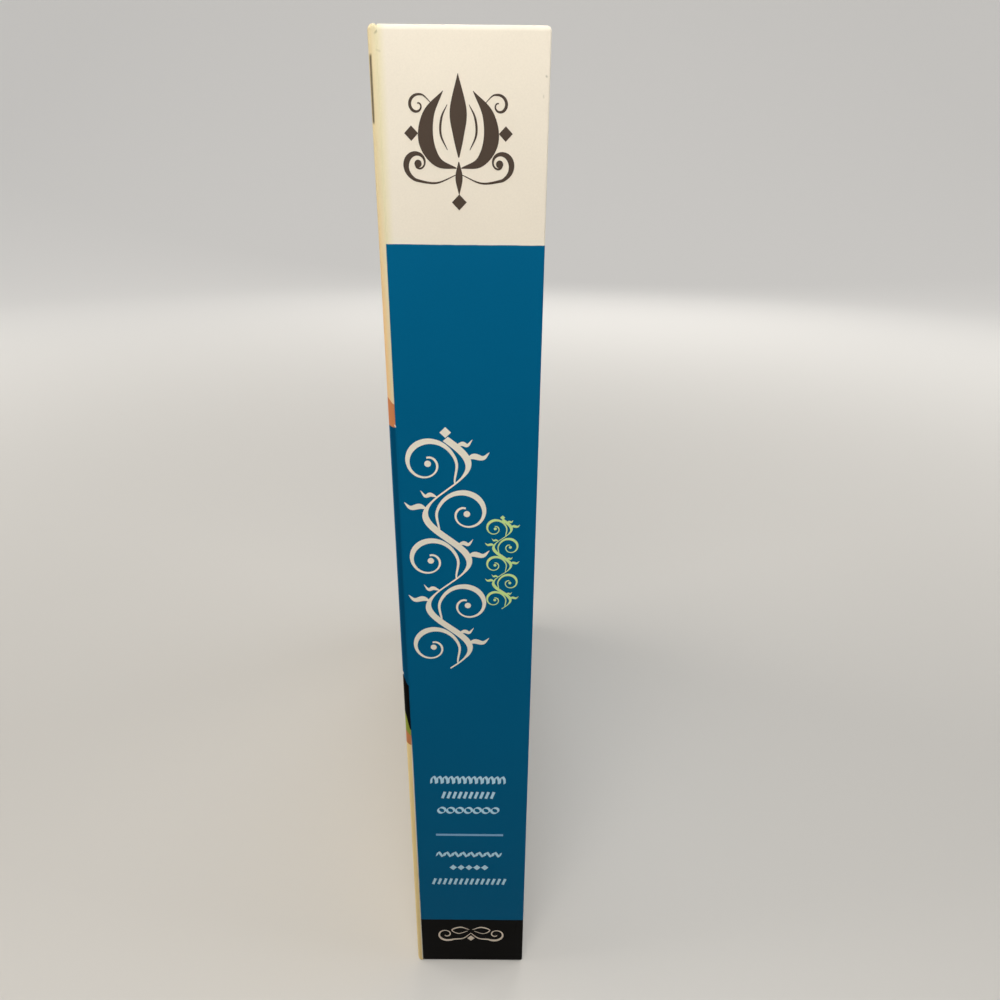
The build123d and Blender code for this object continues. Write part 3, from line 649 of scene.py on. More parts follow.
# %% A closed piece that rides on a body
def solid(name, points, faces, material, body, smooth_shaded=False):
    """A closed mesh from points in metres."""
    piece = shell(name, points, faces, material, smooth_shaded)
    outward = bmesh.new()
    outward.from_mesh(piece.data)
    bmesh.ops.recalc_face_normals(outward, faces=outward.faces)
    outward.to_mesh(piece.data)
    outward.free()
    if body:
        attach(piece, body)
    print(name, len(faces), "faces")
    return piece


print("added pieces are closed meshes that ride on a body")


# %% A sheet that collects strokes
INK_LIFT, INK_SINK = 0.03, 0.02  # how far ink stands above its paper, and reaches into it
LEVELS, RISE = 0.02, 0.012  # how far strokes differ in height, and how far one rises on its way
GOLDEN = 0.618  # steps of this share spread strokes over all levels before two come close
SHORTEST = 0.004  # step along the edge of a slip


class InkedSheet:
    """Strokes on one flat face, in that face's own millimetres, made into one closed mesh."""

    def __init__(self, origin, across, up, outward, body, slot):
        self.plane = [np.array(v, float) for v in (origin, across, up, outward)]
        self.body, self.slot = body, slot
        self.vertices, self.faces, self.count = [], [], 0

    def slip(self, left, right):
        """One closed slip of ink between two edges of equal length."""
        left, right = np.array(left, float), np.array(right, float)
        onward = course((left + right) / 2)[0]
        for edge in (left, right):  # in a tight bend the inner edge waits instead of turning back
            for i in range(1, len(edge)):
                step = float(np.dot(edge[i] - edge[i - 1], onward[i]))
                edge[i] += max(0.0, SHORTEST - step) * onward[i]
        # Each stroke has its own level and rises a little along its way, so that no two tops coincide
        # where strokes cross, or where one crosses itself.
        n, start = len(left), len(self.vertices)
        raised = INK_LIFT + LEVELS * (self.count * GOLDEN % 1) + np.linspace(0, RISE, n)
        self.count += 1
        origin, across, up, outward = self.plane
        for lift in (raised, np.full(n, -INK_SINK)):
            for edge in (left, right):
                ring = origin + edge[:, :1] * across + edge[:, 1:] * up + np.outer(lift, outward)
                self.vertices += [tuple(v) for v in ring * MM]
        rings = [start + k * n for k in range(4)]  # top left, top right, bottom left, bottom right
        for i in range(n - 1):
            tl, tr, bl, br = (ring + i for ring in rings)
            self.faces += [(tl, tl + 1, tr + 1, tr), (bl, br, br + 1, bl + 1),
                           (tl, bl, bl + 1, tl + 1), (tr, tr + 1, br + 1, br)]
        for i in (0, n - 1):
            tl, tr, bl, br = (ring + i for ring in rings)
            self.faces.append((tl, tr, br, bl))

    def pen(self, points, nib, angle=40.0, hair=0.25, per_span=10):
        """A stroke of a flat nib held at one angle."""
        path = smooth(points, per_span)
        heading, normal = course(path)
        edge = np.array([math.cos(math.radians(angle)), math.sin(math.radians(angle))])
        crossing = heading[:, 0] * edge[1] - heading[:, 1] * edge[0]
        offset = 0.5 * nib * np.clip(crossing / 0.3, -1, 1)[:, None] * edge + 0.5 * hair * normal
        self.slip(path + offset, path - offset)

    def swelled(self, points, widths, per_span=10):
        """A stroke whose width follows the pressure given at each point."""
        path = smooth(points, per_span)
        swell = smooth(list(enumerate(widths)), 8)
        spread = np.interp(np.linspace(0, len(widths) - 1, len(path)), swell[:, 0], swell[:, 1])
        offset = 0.5 * np.maximum(spread, 0.04)[:, None] * course(path)[1]
        self.slip(path + offset, path - offset)

    def line(self, start, end, width):
        middle = ((start[0] + end[0]) / 2, (start[1] + end[1]) / 2)
        self.swelled([start, middle, end], [width] * 3, 2)

    def dot(self, centre, radius):
        angles = np.linspace(0, np.pi, 12)
        x, rise = centre[0] - radius * np.cos(angles), radius * np.sin(angles)
        rise[[0, -1]] += 0.02 * radius
        self.slip(np.stack([x, centre[1] + rise], 1), np.stack([x, centre[1] - rise], 1))

    def lozenge(self, centre, size):
        """The square pen dot, standing on its corner."""
        half = size * 0.35
        ends = [(centre[0] - half, centre[1] + half), (centre[0] + half, centre[1] - half)]
        self.pen(ends, size, 45.0, 0.02, 2)

    def make(self, name, colour):
        solid(name, self.vertices, self.faces, INKS[colour], self.body)


print("ink lies", INK_LIFT, "to", round(INK_LIFT + LEVELS + RISE, 3), "mm above its paper")

# %% [markdown]
# ## Ornaments
# A few motifs make up all the print: an upright spray of leaves, a rosette, a vine that climbs and
# curls, and rows of practice strokes. Each is a function of where it goes and how large it is, so
# that the spine, the cover, the back and the guide book can share them, as printed kits do.

# %% Strokes in a motif's own measures
class Motif:
    """Draws on a sheet with everything mirrored, scaled, turned and moved alike."""

    def __init__(self, sheet, centre, scale=1.0, turn=0.0, mirror=False, weight=None):
        self.sheet, self.centre, self.weight = sheet, centre, scale if weight is None else weight
        c, s = math.cos(math.radians(turn)), math.sin(math.radians(turn))
        self.sides = np.array((-1 if mirror else 1, 1)) * scale
        self.turning = np.array([[c, s], [-s, c]])

    def placed(self, points):
        return np.array(points, float) * self.sides @ self.turning + np.array(self.centre)

    def stroke(self, points, widths, per_span=8):
        self.sheet.swelled(self.placed(points), [w * self.weight for w in widths], per_span)

    def dot(self, point, radius):
        self.sheet.dot(self.placed([point])[0], radius * self.weight)

    def lozenge(self, point, size):
        self.sheet.lozenge(self.placed([point])[0], size * self.weight)


print("a motif has", ", ".join(name for name in vars(Motif) if name[0] != "_"))


# %% Upright spray of leaves
def fleuron(sheet, centre, radius):
    """An upright spray: a tall leaf between two pairs of curving ones, the same on both sides."""
    spray = Motif(sheet, centre, radius / 12.0)
    spray.stroke([(0, -3.4), (0, 0.6), (0, 5.2), (0, 11.6)], (0.25, 2.2, 3.4, 0.1))
    spray.stroke([(0, -4.2), (0, -7.2), (0, -10.4)], (0.2, 1.5, 0.15))
    for mirror in (False, True):
        side = Motif(sheet, centre, radius / 12.0, mirror=mirror)
        side.stroke([(0.5, -5.4), (4.4, -4.2), (6.6, -0.4), (6.0, 4.4), (3.0, 8.6)],
                    (0.2, 1.9, 3.1, 2.3, 0.1))
        side.stroke([(2.3, -2.0), (3.6, 0.8), (3.4, 3.8), (2.2, 6.2)], (0.15, 0.42, 0.42, 0.12))
        side.stroke([(0.5, -6.6), (4.6, -8.2), *spiral((8.4, -4.6), 3.2, 0.6, -90, 1.15)],
                    (0.15, 0.7, 1.2, 0.75, 0.4, 0.35, 0.3))
        side.stroke([(5.2, 6.2), *spiral((8.2, 6.0), 2.2, 0.4, 130, -1.1)],
                    (0.12, 0.5, 0.6, 0.4, 0.3, 0.25))
        side.dot((8.4, -4.6), 0.75)
        side.lozenge((9.6, 1.0), 2.0)
    spray.lozenge((0, -11.9), 2.2)


print("motif: upright spray of leaves")


# %% Rosette of petals
def rosette(sheet, centre, radius, petals=8):
    """A flower of pen strokes: broad petals, hairlines between them and lozenges round the rim."""
    unit = radius / 12.0
    for petal in range(petals):
        turn = 360 * petal / petals
        along, between = (Motif(sheet, centre, unit, turn + more) for more in (0, 180 / petals))
        for side in (-1, 1):
            half = [(0, 2.7), (1.75 * side, 5.0), (1.35 * side, 7.6), (0, 9.6)]
            along.stroke(half, (0.25, 1.0, 0.8, 0.1), 7)
        along.stroke([(0, 4.2), (0, 5.6), (0, 7.4)], (0.15, 0.8, 0.1), 5)
        between.stroke([(0, 6.4), (0, 7.4), (0, 8.4)], [0.3] * 3, 3)
        between.dot((0, 9.1), 0.5)
        along.lozenge((0, 11.3), 1.5)
    sheet.swelled(spiral(centre, 2.1 * unit, 2.1 * unit, 0, 1.02, 28), [0.55 * unit] * 2, 3)
    sheet.dot(centre, 0.95 * unit)


print("motif: rosette of petals")


# %% Climbing vine
def vine(sheet, foot, length, sway, waves, turn=0.0, weight=1.0):
    """A stem that sways up from its foot, with a curl and two leaves at every bend."""
    half = length / waves
    plant = Motif(sheet, foot, 1.0, turn, weight=weight)
    heights = np.linspace(0, length, waves * 6 + 1)
    stem = np.stack([0.42 * sway * np.sin(np.pi * heights / half), heights], 1)
    sheet.pen(plant.placed(stem), 1.35 * weight, turn + 38, 0.42 * weight, 5)
    for bend in range(waves):
        side = 1 if bend % 2 == 0 else -1
        out = sway * side
        root = np.array([0.16 * out, (bend + 0.12) * half])
        eye = (-0.36 * out, (bend + 0.52) * half)
        curl = spiral(eye, 0.56 * sway, 0.12 * sway, 90 - 90 * side, side * 1.25)
        plant.stroke([root, root + (0.0, 0.1 * half), *curl], (0.3, 0.9, 1.55, 0.8, 0.45, 0.6, 0.5), 5)
        plant.dot((eye[0] + 0.02 * sway, eye[1]), 0.85)
        for lift, size in ((0.62, 1.0), (0.86, 0.75)):
            base = np.array([0.42 * out * math.sin(math.pi * lift), (bend + lift) * half])
            leaf = [base + (u * out, v * half) for u, v in (
                (0.0, 0.0), (0.13, 0.05), (0.3 * size, 0.02), (0.42 * size, 0.13))]
            plant.stroke(leaf, [w * size for w in (0.25, 1.5, 1.1, 0.1)], 6)
    plant.lozenge((0, length + 0.12 * half), 2.0)


print("motif: climbing vine")


# %% Rows of practice strokes
# Each exercise: its shape, the nib's turn, the hairline's width and the steps in a span. Slants and
# rings are shares of the row's height, and the others are as wide as their share of the pitch.
EXERCISES = {
    "slants": ([(-0.16, 0), (0.16, 1)], -60, 0.12, 2),
    "arches": ([(-0.42, 0), (-0.36, 0.62), (0, 1), (0.36, 0.62), (0.42, 0)], 0, 0.14, 4),
    "rings": (spiral((0, 0.5), 0.42, 0.42, 130, 1.02, 12), 0, 0.12, 3),
    "waves": ([(-0.5, 0.25), (-0.25, 0.85), (0.25, 0.15), (0.5, 0.75)], 0, 0.12, 5)}


def practice_row(sheet, kind, start, end, height, nib, angle=42.0):
    """A line of one repeated pen exercise, from start to end along the sheet."""
    (x0, y0), width = start, end - start[0]
    pitch = height * (0.62 if kind in ("slants", "arches") else 0.95)
    count = max(1, int(width / pitch))
    pitch = width / count
    for i in range(count):
        x = x0 + (i + 0.5) * pitch
        if kind == "lozenges":
            sheet.lozenge((x, y0 + height / 2), height * 0.62)
            continue
        shape, turn, hair, steps = EXERCISES[kind]
        wide = pitch if kind in ("arches", "waves") else height
        sheet.pen([(x + u * wide, y0 + v * height) for u, v in shape], nib, angle + turn, hair, steps)


def flourish(sheet, centre):
    """Two curls and two tails that spring from one lozenge."""
    for mirror in (False, True):
        side = Motif(sheet, centre, mirror=mirror)
        side.stroke([(0.0, 1.6), (2.6, -1.0), (6.0, -1.6), *spiral((8.6, 1.0), 3.4, 0.7, -120, 1.2)],
                    (0.2, 0.9, 0.55, 0.3, 0.45, 0.3), 6)
        side.stroke([(0.6, 3.4), (3.6, 4.6), (6.6, 3.2), (4.4, 1.4), (1.2, 2.6)],
                    (0.15, 0.5, 0.35, 0.25, 0.15), 6)
    Motif(sheet, centre).lozenge((0, -1.0), 1.8)


print("exercises:", ", ".join(EXERCISES))

# %% [markdown]
# ## Print on the spine
# The spine is what a shelf shows: a dark ornament on the cream head, a tall pale vine in the blue
# field, a small green one beside it, short lines of pale strokes above and below a rule, and a
# cream flourish on the black foot.

# %% Printed faces
book_low, book_high = box_mm("guide_book_cover")
# Each face: a point on it, its directions across, up and outward, its body and its slot.
FACES = {
    "spine": ((0, SPINE_Y, 0), (1, 0, 0), (0, 0, 1), (0, -1, 0), "box", "printed_paper"),
    "cover": ((FRONT_X, 0, 0), (0, -1, 0), (0, 0, 1), (-1, 0, 0), "cover", "cover_paper"),
    "back": ((BACK_X, 0, 0), (0, 1, 0), (0, 0, 1), (1, 0, 0), "box", "printed_paper"),
    "book": ((book_low.x, 0, 0), (0, -1, 0), (0, 0, 1), (-1, 0, 0), "box", "book_cover_card")}


def print_on(face, name, colour, *strokes):
    """One piece of print; each stroke is what draws it and the values it takes."""
    sheet = InkedSheet(*FACES[face])
    for draw, *values in strokes:
        draw(sheet, *values)
    sheet.make(name, colour)


LINE, LOZENGE = InkedSheet.line, InkedSheet.lozenge
print("faces:", ", ".join(FACES))

# %% Spine
print_on("spine", "spine_fleuron", "brown", (fleuron, (-0.4, 262.4), 12.4))
print_on("spine", "spine_vine", "cream", (vine, (-4.6, 127.0), 69.0, 13.5, 5))
print_on("spine", "spine_small_vine", "lime", (vine, (9.8, 147.0), 27.0, 5.6, 5, 0.0, 0.46))
print_on("spine", "spine_practice_rows", "pale_blue", *[
    (practice_row, kind, (x0, z), x1, 2.7, 0.75) for kind, x0, z, x1 in (
        ("arches", -11.5, 83.6, 11.5), ("slants", -8.5, 77.4, 8.5), ("rings", -9.8, 71.0, 9.8),
        ("waves", -10.5, 51.6, 10.5), ("lozenges", -6.5, 45.6, 6.5), ("slants", -12.5, 39.0, 12.5))])
print_on("spine", "spine_rule", "soft_blue", (LINE, (-10.5, 61.7), (11.1, 61.7), 0.8))
print_on("spine", "spine_foot_scroll", "ivory", (flourish, (0.4, 13.2)))

# The cover carries on the spine's colours as bands and shows what the tools are for: guide lines,
# practice rows and one large ornament. The back is quieter, a rule round one rosette. Long guide
# lines could be stripes in the material, but as slips of ink they stop neatly short of the edges.

# %% Cover
print_on("cover", "cover_ornament", "brown", (fleuron, (-66.0, 246.0), 27.0),
         (practice_row, "arches", (-26.0, 246.0), 94.0, 15.0, 3.0),
         (practice_row, "waves", (-26.0, 219.0), 94.0, 12.0, 2.4))
print_on("cover", "cover_guide_lines", "tan",
         *[(LINE, (-30, z), (98, z), 0.3) for z in (219.0, 231.0, 246.0, 261.0, 266.5)],
         *[(LINE, (-98, z), (98, z), 0.25) for z in (16.0, 29.0, 41.0, 54.0, 66.0, 79.0)])
print_on("cover", "cover_vine", "cream", (vine, (-92.0, 166.0), 176.0, 30.0, 7, -90, 2.3),
         *[(LINE, (-108, z), (106, z), 0.5) for z in (193.5, 129.0)])
print_on("cover", "cover_lozenges", "lime", *[
    (LOZENGE, (-98.8 + 7.6 * place, 115.5), 2.6 if place % 2 else 5.2) for place in range(27)])
print_on("cover", "cover_practice_rows", "brown", *[
    (practice_row, kind, (-94, z), end, 13.0, 2.6)
    for kind, z, end in (("slants", 16.0, 20), ("rings", 41.0, -10), ("arches", 66.0, 60))])

# %% Back
rules = []
for inset, width in ((0.0, 0.9), (3.2, 0.26)):
    w, z0, z1 = 92.0 - inset, 34.0 + inset, 229.0 - inset
    corners = [(-w, z0), (w, z0), (w, z1), (-w, z1), (-w, z0)]
    rules += [(LINE, start, end, width) for start, end in zip(corners, corners[1:])]
print_on("back", "back_rule_and_rosette", "cream", *rules, (rosette, (0.0, 148.0), 34.0))
print_on("back", "back_corner_rosettes", "soft_blue",
         *[(rosette, (y, z), 8.0) for y in (-78.0, 78.0) for z in (48.5, 214.5)],
         (practice_row, "arches", (-44.0, 78.0), 44.0, 6.0, 1.4),
         (practice_row, "slants", (-32.0, 66.0), 32.0, 6.0, 1.4))
print_on("back", "back_vine", "brown", (vine, (-70.0, 262.0), 136.0, 18.0, 9, -90, 1.5))

# %% [markdown]
# ## The paper hinge
# Cover and spine are joined by nothing but the sheet itself, scored and folded along the spine's
# edge. A rigid strip would stand away when the cover opens. So the strip is rebuilt here with many
# narrow columns. Every point also remembers where it lay unbent, so that the print can bend with it.

# %% The fold strip's shape
fold_low, fold_high = box_mm("hinge_fold")
HINGE_X, SCORE_DEPTH, SCORE_WIDTH = -16.55, 0.07, 0.16  # the groove pressed along the fold
HEAD_Z, END_ROUND, END_GAP = cad_high.z / MM, 1.0, 0.3
# Beyond its lap the strip only fills the gap between the two boards.
PAST_SHARE, PAST_RECESS = 0.36, 0.04
columns = np.concatenate([np.linspace(fold_low.x, -16.75, 5), np.linspace(-16.72, -16.38, 13),
                          np.linspace(-16.35, fold_high.x, 5)])
end_levels = np.linspace(END_GAP, fold_low.z - 0.05, 6)
levels = np.concatenate([end_levels, np.linspace(fold_low.z, fold_high.z, 57),
                         HEAD_Z - end_levels[::-1]])
fold_points = []
for back_side in (False, True):
    for z in levels:
        past_lap = z < fold_low.z or z > fold_high.z
        into_round = max(0.0, END_ROUND - z, z - (HEAD_Z - END_ROUND))
        recess = END_ROUND - math.sqrt(END_ROUND ** 2 - into_round ** 2) + PAST_RECESS * past_lap
        for x in columns:
            x = HINGE_X + (x - HINGE_X) * (PAST_SHARE if past_lap else 1.0)
            score = SCORE_DEPTH * math.exp(-((x - HINGE_X) / SCORE_WIDTH) ** 2)
            inward = fold_high.y - fold_low.y if back_side else score
            fold_points.append((x, fold_low.y + recess + inward, z))
n, m = len(columns), len(levels)
back = n * m  # how much later the same point of the inner side comes
fold_faces = []
for j in range(m - 1):
    for a in range(j * n, j * n + n - 1):
        fold_faces += [(a, a + 1, a + n + 1, a + n),
                       (a + back, a + back + n, a + back + n + 1, a + back + 1)]
    fold_faces += [(a, a + n, a + n + back, a + back) for a in (j * n, j * n + n - 1)]
for j in (0, m - 1):
    fold_faces += [(a, a + 1, a + 1 + back, a + back) for a in range(j * n, j * n + n - 1)]
print("fold columns", n, "levels", m)

# %% The fold strip's print and its unbent points
look = Finish("printed_fold_paper", 0.48, Specular_IOR_Level=SHEEN)
look.point = look.add("Attribute", attribute_name="unbent").outputs["Vector"]
x, y, z = look.axes(look.point)
colour = look.uneven(look.effect(sheet_print_and_shade)["Colour"], 0.10)
# Below the bands a painted highlight runs along the score in patches, nearly white.
on_score = look.fade(look.apart(x, -16.86 * MM), 0.06 * MM, 0.24 * MM)
patches = look.ramp(look.noise(look.stretched(look.point, (1, 1, 0.35)), 190.0, 5.0, 0.7), 0.25, 0.5)
painted_score_highlight = look.times(look.times(on_score, patches), look.fade(z, 90 * MM, 104 * MM))
colour = look.mix(look.times(painted_score_highlight, 0.9), colour, BARE_PAPER_AND_HIGHLIGHT)
# Where the paper was tucked in at the head it creased: the creases are pressed in as bumps, and their
# shade is painted on in olive grey.
faint = look.times(soft_line(look, x, z, (-16.8, 278.4), (-15.9, 278.1), 0.3), 0.45)
tuck_creases_and_shade = look.most(soft_line(look, x, z, (-16.95, 281.2), (-16.0, 282.0), 0.3), faint)
colour = look.mix(look.times(tuck_creases_and_shade, 0.5), colour, "#9B946F")
# One chip, where the print has come off down to the white.
colour = look.mix(soft_line(look, x, z, (-16.95, 199.5), (-16.75, 198.9), 0.2), colour, BARE_PAPER_AND_HIGHLIGHT)
inner = look.ramp(look.add("Attribute", attribute_name="inner_side").outputs["Fac"], 0.3, 0.7)
look.colour(look.mix(inner, colour, LINING))
look.relief(look.minus(look.times(look.tooth()["Height"], 0.3), tuck_creases_and_shade), 0.5, 0.1)

fold = solid("paper_hinge", [Vector(v) * MM for v in fold_points], fold_faces, look.material, None)
unbent = fold.data.attributes.new("unbent", "FLOAT_VECTOR", "POINT")
unbent.data.foreach_set("vector", (np.array(fold_points, np.float32) * MM).ravel())
inner_side = fold.data.attributes.new("inner_side", "FLOAT", "POINT")
inner_side.data.foreach_set("value", np.repeat((0.0, 1.0), back).astype(np.float32))
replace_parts(fold, "hinge_fold")
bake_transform(fold)

# %% [markdown]
# ## The insert and its magnets
# The insert is one sheet of black plastic, warmed and sucked down over a mould. It keeps the
# mould's fine pebble and picks up hairline scratches and dust. Small magnets under its deck hold
# the cover by two steel discs under the lining.

# %% Formed plastic
look = Finish("formed_black_plastic", 0.4, Specular_IOR_Level=0.4)
pebble = look.noise(look.point, 2200.0, 2.0, 0.6)
deckward = look.ramp(look.axes(look.normal)[0], -0.5, -0.9)
shade = look.mix(look.ramp(look.noise(look.point, 25.0), 0.35, 0.7), "#121213", "#1B1B1D")
shade = look.mix(look.times(look.scratches(60.0), 0.04), shade, "#8A8A8C")
dust = look.effect(settled_dust, Facing=deckward)["Mask"]
look.colour(look.mix(look.times(dust, 0.35), shade, "#B9B3A8"))
look.rough(look.spread(pebble, 0.34, 0.46))
look.relief(pebble, 0.16, 0.05)
dress(look, *[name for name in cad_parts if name.startswith("insert_")])


# %% Metals
def metal(name, colour, roughness, grain_stretch, strength=0.15):
    """Worked metal: a grain drawn out along one direction, with a few scratches."""
    look = Finish(name, roughness, Metallic=1.0)
    grain = look.noise(look.stretched(look.point, grain_stretch), 1500.0, 3.0, 0.6)
    look.colour(look.mix(look.spread(grain), tint(colour, 1.0 - 1.2 * strength), colour))
    look.rough(look.plus(look.spread(grain, roughness * 0.85, roughness * 1.2),
                         look.times(look.scratches(180.0), 0.12)))
    look.relief(grain, strength, 0.02)
    return look


dress(metal("nickelled_magnet", "#C9C7C2", 0.28, (1, 1, 1)), "magnets")
dress(metal("keeper_steel", "#B8B6B2", 0.36, (1, 0.05, 1)), "keeper_discs")
dress(metal("nib_steel", "#D9D3C6", 0.2, (1, 1, 0.05)), "pen_nib", "spare_nibs")
dress(metal("staple_wire", "#BDBDBD", 0.3, (1, 1, 0.05)), "guide_book_staples")
trim = metal("trim_metal", "#DCCDA6", 0.16, (1, 1, 0.03), 0.03)
dress(trim, "pen_cap_band")

# %% [markdown]
# ## The pen and its ink
# Barrel and cap are moulded in glossy dark blue, the grip and feed in black. Ink cartridges are
# clear plastic that takes the colour of its ink, paler at the empty neck. True glass would cost
# many bounces for a thing 7 mm wide, so the neck is painted by height instead.

# %% Moulded plastics
def moulded(name, colour, roughness, coat=0.0, grooves=None):
    """Moulded plastic with faint flow marks; grooves is (pitch, low, high) in millimetres of height."""
    look = Finish(name, roughness, Coat_Weight=coat, Coat_Roughness=0.08)
    swirl = look.noise(look.stretched(look.point, (1, 1, 0.25)), 160.0, 4.0, 0.6)
    scratched = look.times(look.scratches(160.0), 0.03)
    look.colour(look.mix(scratched, look.uneven(colour, 0.08), "#C8CDD0"))
    look.rough(look.spread(swirl, roughness * 0.85, roughness * 1.2))
    height = look.times(swirl, 0.25)
    if grooves:
        pitch, low, high = (v * MM for v in grooves)
        z = look.axes(look.point)[2]
        inside = look.times(look.ramp(z, low, low + pitch / 4), look.fade(z, high - pitch / 4, high))
        height = look.plus(height, look.times(look.wave(z, pitch), inside))
    look.relief(height, 0.3, 0.08)
    return look


dress(moulded("pen_blue_plastic", "#0B4A6B", 0.22, coat=0.5), "pen_barrel", "pen_cap")
dress(moulded("grip_black_plastic", "#17171A", 0.42, grooves=(1.6, 150.0, 163.0)), "pen_grip")
dress(moulded("feed_black_plastic", "#101012", 0.5), "pen_feed", "spare_nib_feeds")


# %% Ink cartridges
def cartridge_plastic(name, colour, node):
    """Clear plastic over ink, paler above the ink's level and at the neck."""
    look = Finish(name, 0.2, Coat_Weight=0.5, Coat_Roughness=0.04)
    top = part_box(node)[1].z
    wobble = look.times(look.minus(look.noise(look.point, 90.0), 0.5), 2.0 * MM)
    level = look.plus(look.axes(look.point)[2], wobble)
    empty = look.times(look.ramp(level, top - 7.5 * MM, top - 6.5 * MM), 0.75)
    look.colour(look.mix(empty, look.uneven(colour, 0.1), tint(colour, 0.35, 0.55)))
    look.relief(look.noise(look.point, 300.0, 2.0), 0.06, 0.2)
    return look


dress(cartridge_plastic("black_ink_cartridge", "#08080A", "black_ink_cartridges"),
      "black_ink_cartridges", "pen_ink_cartridge")
dress(cartridge_plastic("blue_ink_cartridge", "#1438A0", "blue_ink_cartridges"),
      "blue_ink_cartridges")

# %% The cap's clip: a crowned spring that tapers to a ball
clip_low, clip_high = box_mm("pen_clip")
CLIP_THICK, CLIP_BALL = 0.55, 0.8
clip_y, outer_x = (clip_low.y + clip_high.y) / 2, clip_low.x + 0.5 * CLIP_THICK
clip_path = smooth([(clip_high.x - 0.1, clip_high.z - 1.9), (clip_high.x - 1.1, clip_high.z - 1.0),
                    (outer_x + 0.15, clip_high.z - 2.4), (outer_x, clip_high.z - 6.0),
                    (outer_x, clip_low.z + 12.0), (outer_x + 0.15, clip_low.z + CLIP_BALL + 0.2)], 8)
clip_widths = np.interp(clip_path[:, 1], (clip_low.z, clip_high.z - 3.0),
                        (1.5, clip_high.y - clip_low.y))
section = [math.radians(a) for a in range(0, 181, 15)]
clip_points = []
for (x, z), (dx, dz), width in zip(clip_path, course(clip_path)[0], clip_widths):
    for a in section:  # the outer side is crowned and the inner side is flat
        off = CLIP_THICK * (math.sin(a) - 0.5)
        clip_points.append((x + off * dz, clip_y + math.cos(a) * width / 2, z - off * dx))
n, start = len(section), len(clip_points)
clip_faces = tube_faces(n, len(clip_path)) + [tuple(range(n)), tuple(range(start - n, start))]
ball = bmesh.new()
bmesh.ops.create_uvsphere(ball, u_segments=24, v_segments=16, radius=CLIP_BALL)
ball_middle = Vector((outer_x + 0.55, clip_y, clip_low.z + CLIP_BALL))
clip_points += [v.co + ball_middle for v in ball.verts]
clip_faces += [[start + v.index for v in face.verts] for face in ball.faces]
ball.free()
clip = solid("pen_cap_clip", [Vector(p) * MM for p in clip_points], clip_faces, trim.material,
             "pen_cap", True)
clip.data.set_sharp_from_angle(angle=math.radians(40))
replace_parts(clip, "pen_clip")

# %% [markdown]
# ## The pencil and the eraser
# A sharpener cuts through the lacquer, so paint is left only on the pencil's flats, and the border
# is the scalloped line where cone meets hexagon. That needs no drawing: the cone's surface leans
# and the flats don't, so the slope of the surface picks wood or paint. The eraser is soft and
# slightly soiled at its ends.

# %% Pencil
look = Finish("pencil_lacquer_and_wood", 0.3, Specular_IOR_Level=0.45)
bare = look.ramp(look.calc("ABSOLUTE", look.axes(look.normal)[2]), 0.03, 0.06)
grain = look.noise(look.stretched(look.point, (1, 1, 0.06)), 900.0, 4.0, 0.6)
rays_of_wood = look.noise(look.stretched(look.point, (1, 1, 0.15)), 260.0, 2.0, 0.5)
wood = look.mix(look.spread(grain), "#B98552", "#D9AE79")
wood = look.mix(look.ramp(rays_of_wood, 0.5, 0.7, 0.0, 0.35), wood, "#8F5D33")
ring_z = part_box("pencil_body")[0].z + 8.0 * MM
ring = look.fade(look.axes(look.point)[2], ring_z - 0.1 * MM, ring_z + 0.1 * MM)
paint = look.uneven(look.mix(ring, "#0E2233", "#C9A45A"), 0.1)
look.colour(look.mix(bare, paint, wood))
look.rough(look.ramp(bare, 0.0, 1.0, 0.24, 0.8))
look.relief(grain, 0.2, 0.05)
dress(look, "pencil_body")
dress(metal("graphite_lead", "#3A3A3E", 0.42, (1, 1, 0.2)), "pencil_lead")

# %% Eraser and its sleeve
look = Finish("eraser_rubber", 0.75)
low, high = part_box("eraser")
y = look.axes(look.point)[1]
near_end = look.most(look.fade(y, low.y, low.y + 7 * MM), look.ramp(y, high.y - 9 * MM, high.y))
smears = look.noise(look.stretched(look.point, (1, 0.4, 1)), 240.0, 4.0, 0.7)
soil = look.times(look.times(near_end, look.ramp(smears, 0.45, 0.7)), 0.45)
clean = look.mix(look.spread(look.noise(look.point, 60.0)), "#E3E0D8", "#F0EDE6")
look.colour(look.mix(soil, clean, "#7B7977"))
look.relief(look.noise(look.point, 900.0), 0.3, 0.08)
dress(look, "eraser")

look = Finish("eraser_sleeve_card", 0.6, Specular_IOR_Level=0.2)
low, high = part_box("eraser_sleeve")
share = look.ramp(look.axes(look.point)[1], low.y, high.y, 0.0, 28.0)
bands = ((6.0, BLUE), (7.0, CREAM), (21.0, BLUE), (22.0, CREAM), (40.0, BLUE))
look.colour(look.uneven(stacked(look, share, bands), 0.12))
look.relief(look.tooth()["Height"], 0.25, 0.05)
dress(look, "eraser_sleeve")

# %% [markdown]
# ## The ruler
# A thin rule of clear acrylic with one bevelled edge. Its ticks lie on the bevel, so that they
# nearly touch the paper, and its centimetre figures on the flat above. Figures come from the
# built-in font, turned into closed slips like the rest of the print.

# %% Acrylic and ticks
look = Finish("clear_acrylic", 0.12, IOR=1.49, Transmission_Weight=0.75)
scratched = look.scratches(120.0)
look.colour(look.mix(look.times(scratched, 0.3), "#E6EFEC", "#F8FAF9"))
look.rough(look.ramp(scratched, 0.0, 1.0, 0.08, 0.2))
look.relief(look.noise(look.point, 60.0, 1.0), 0.01, 0.3)
dress(look, "ruler")

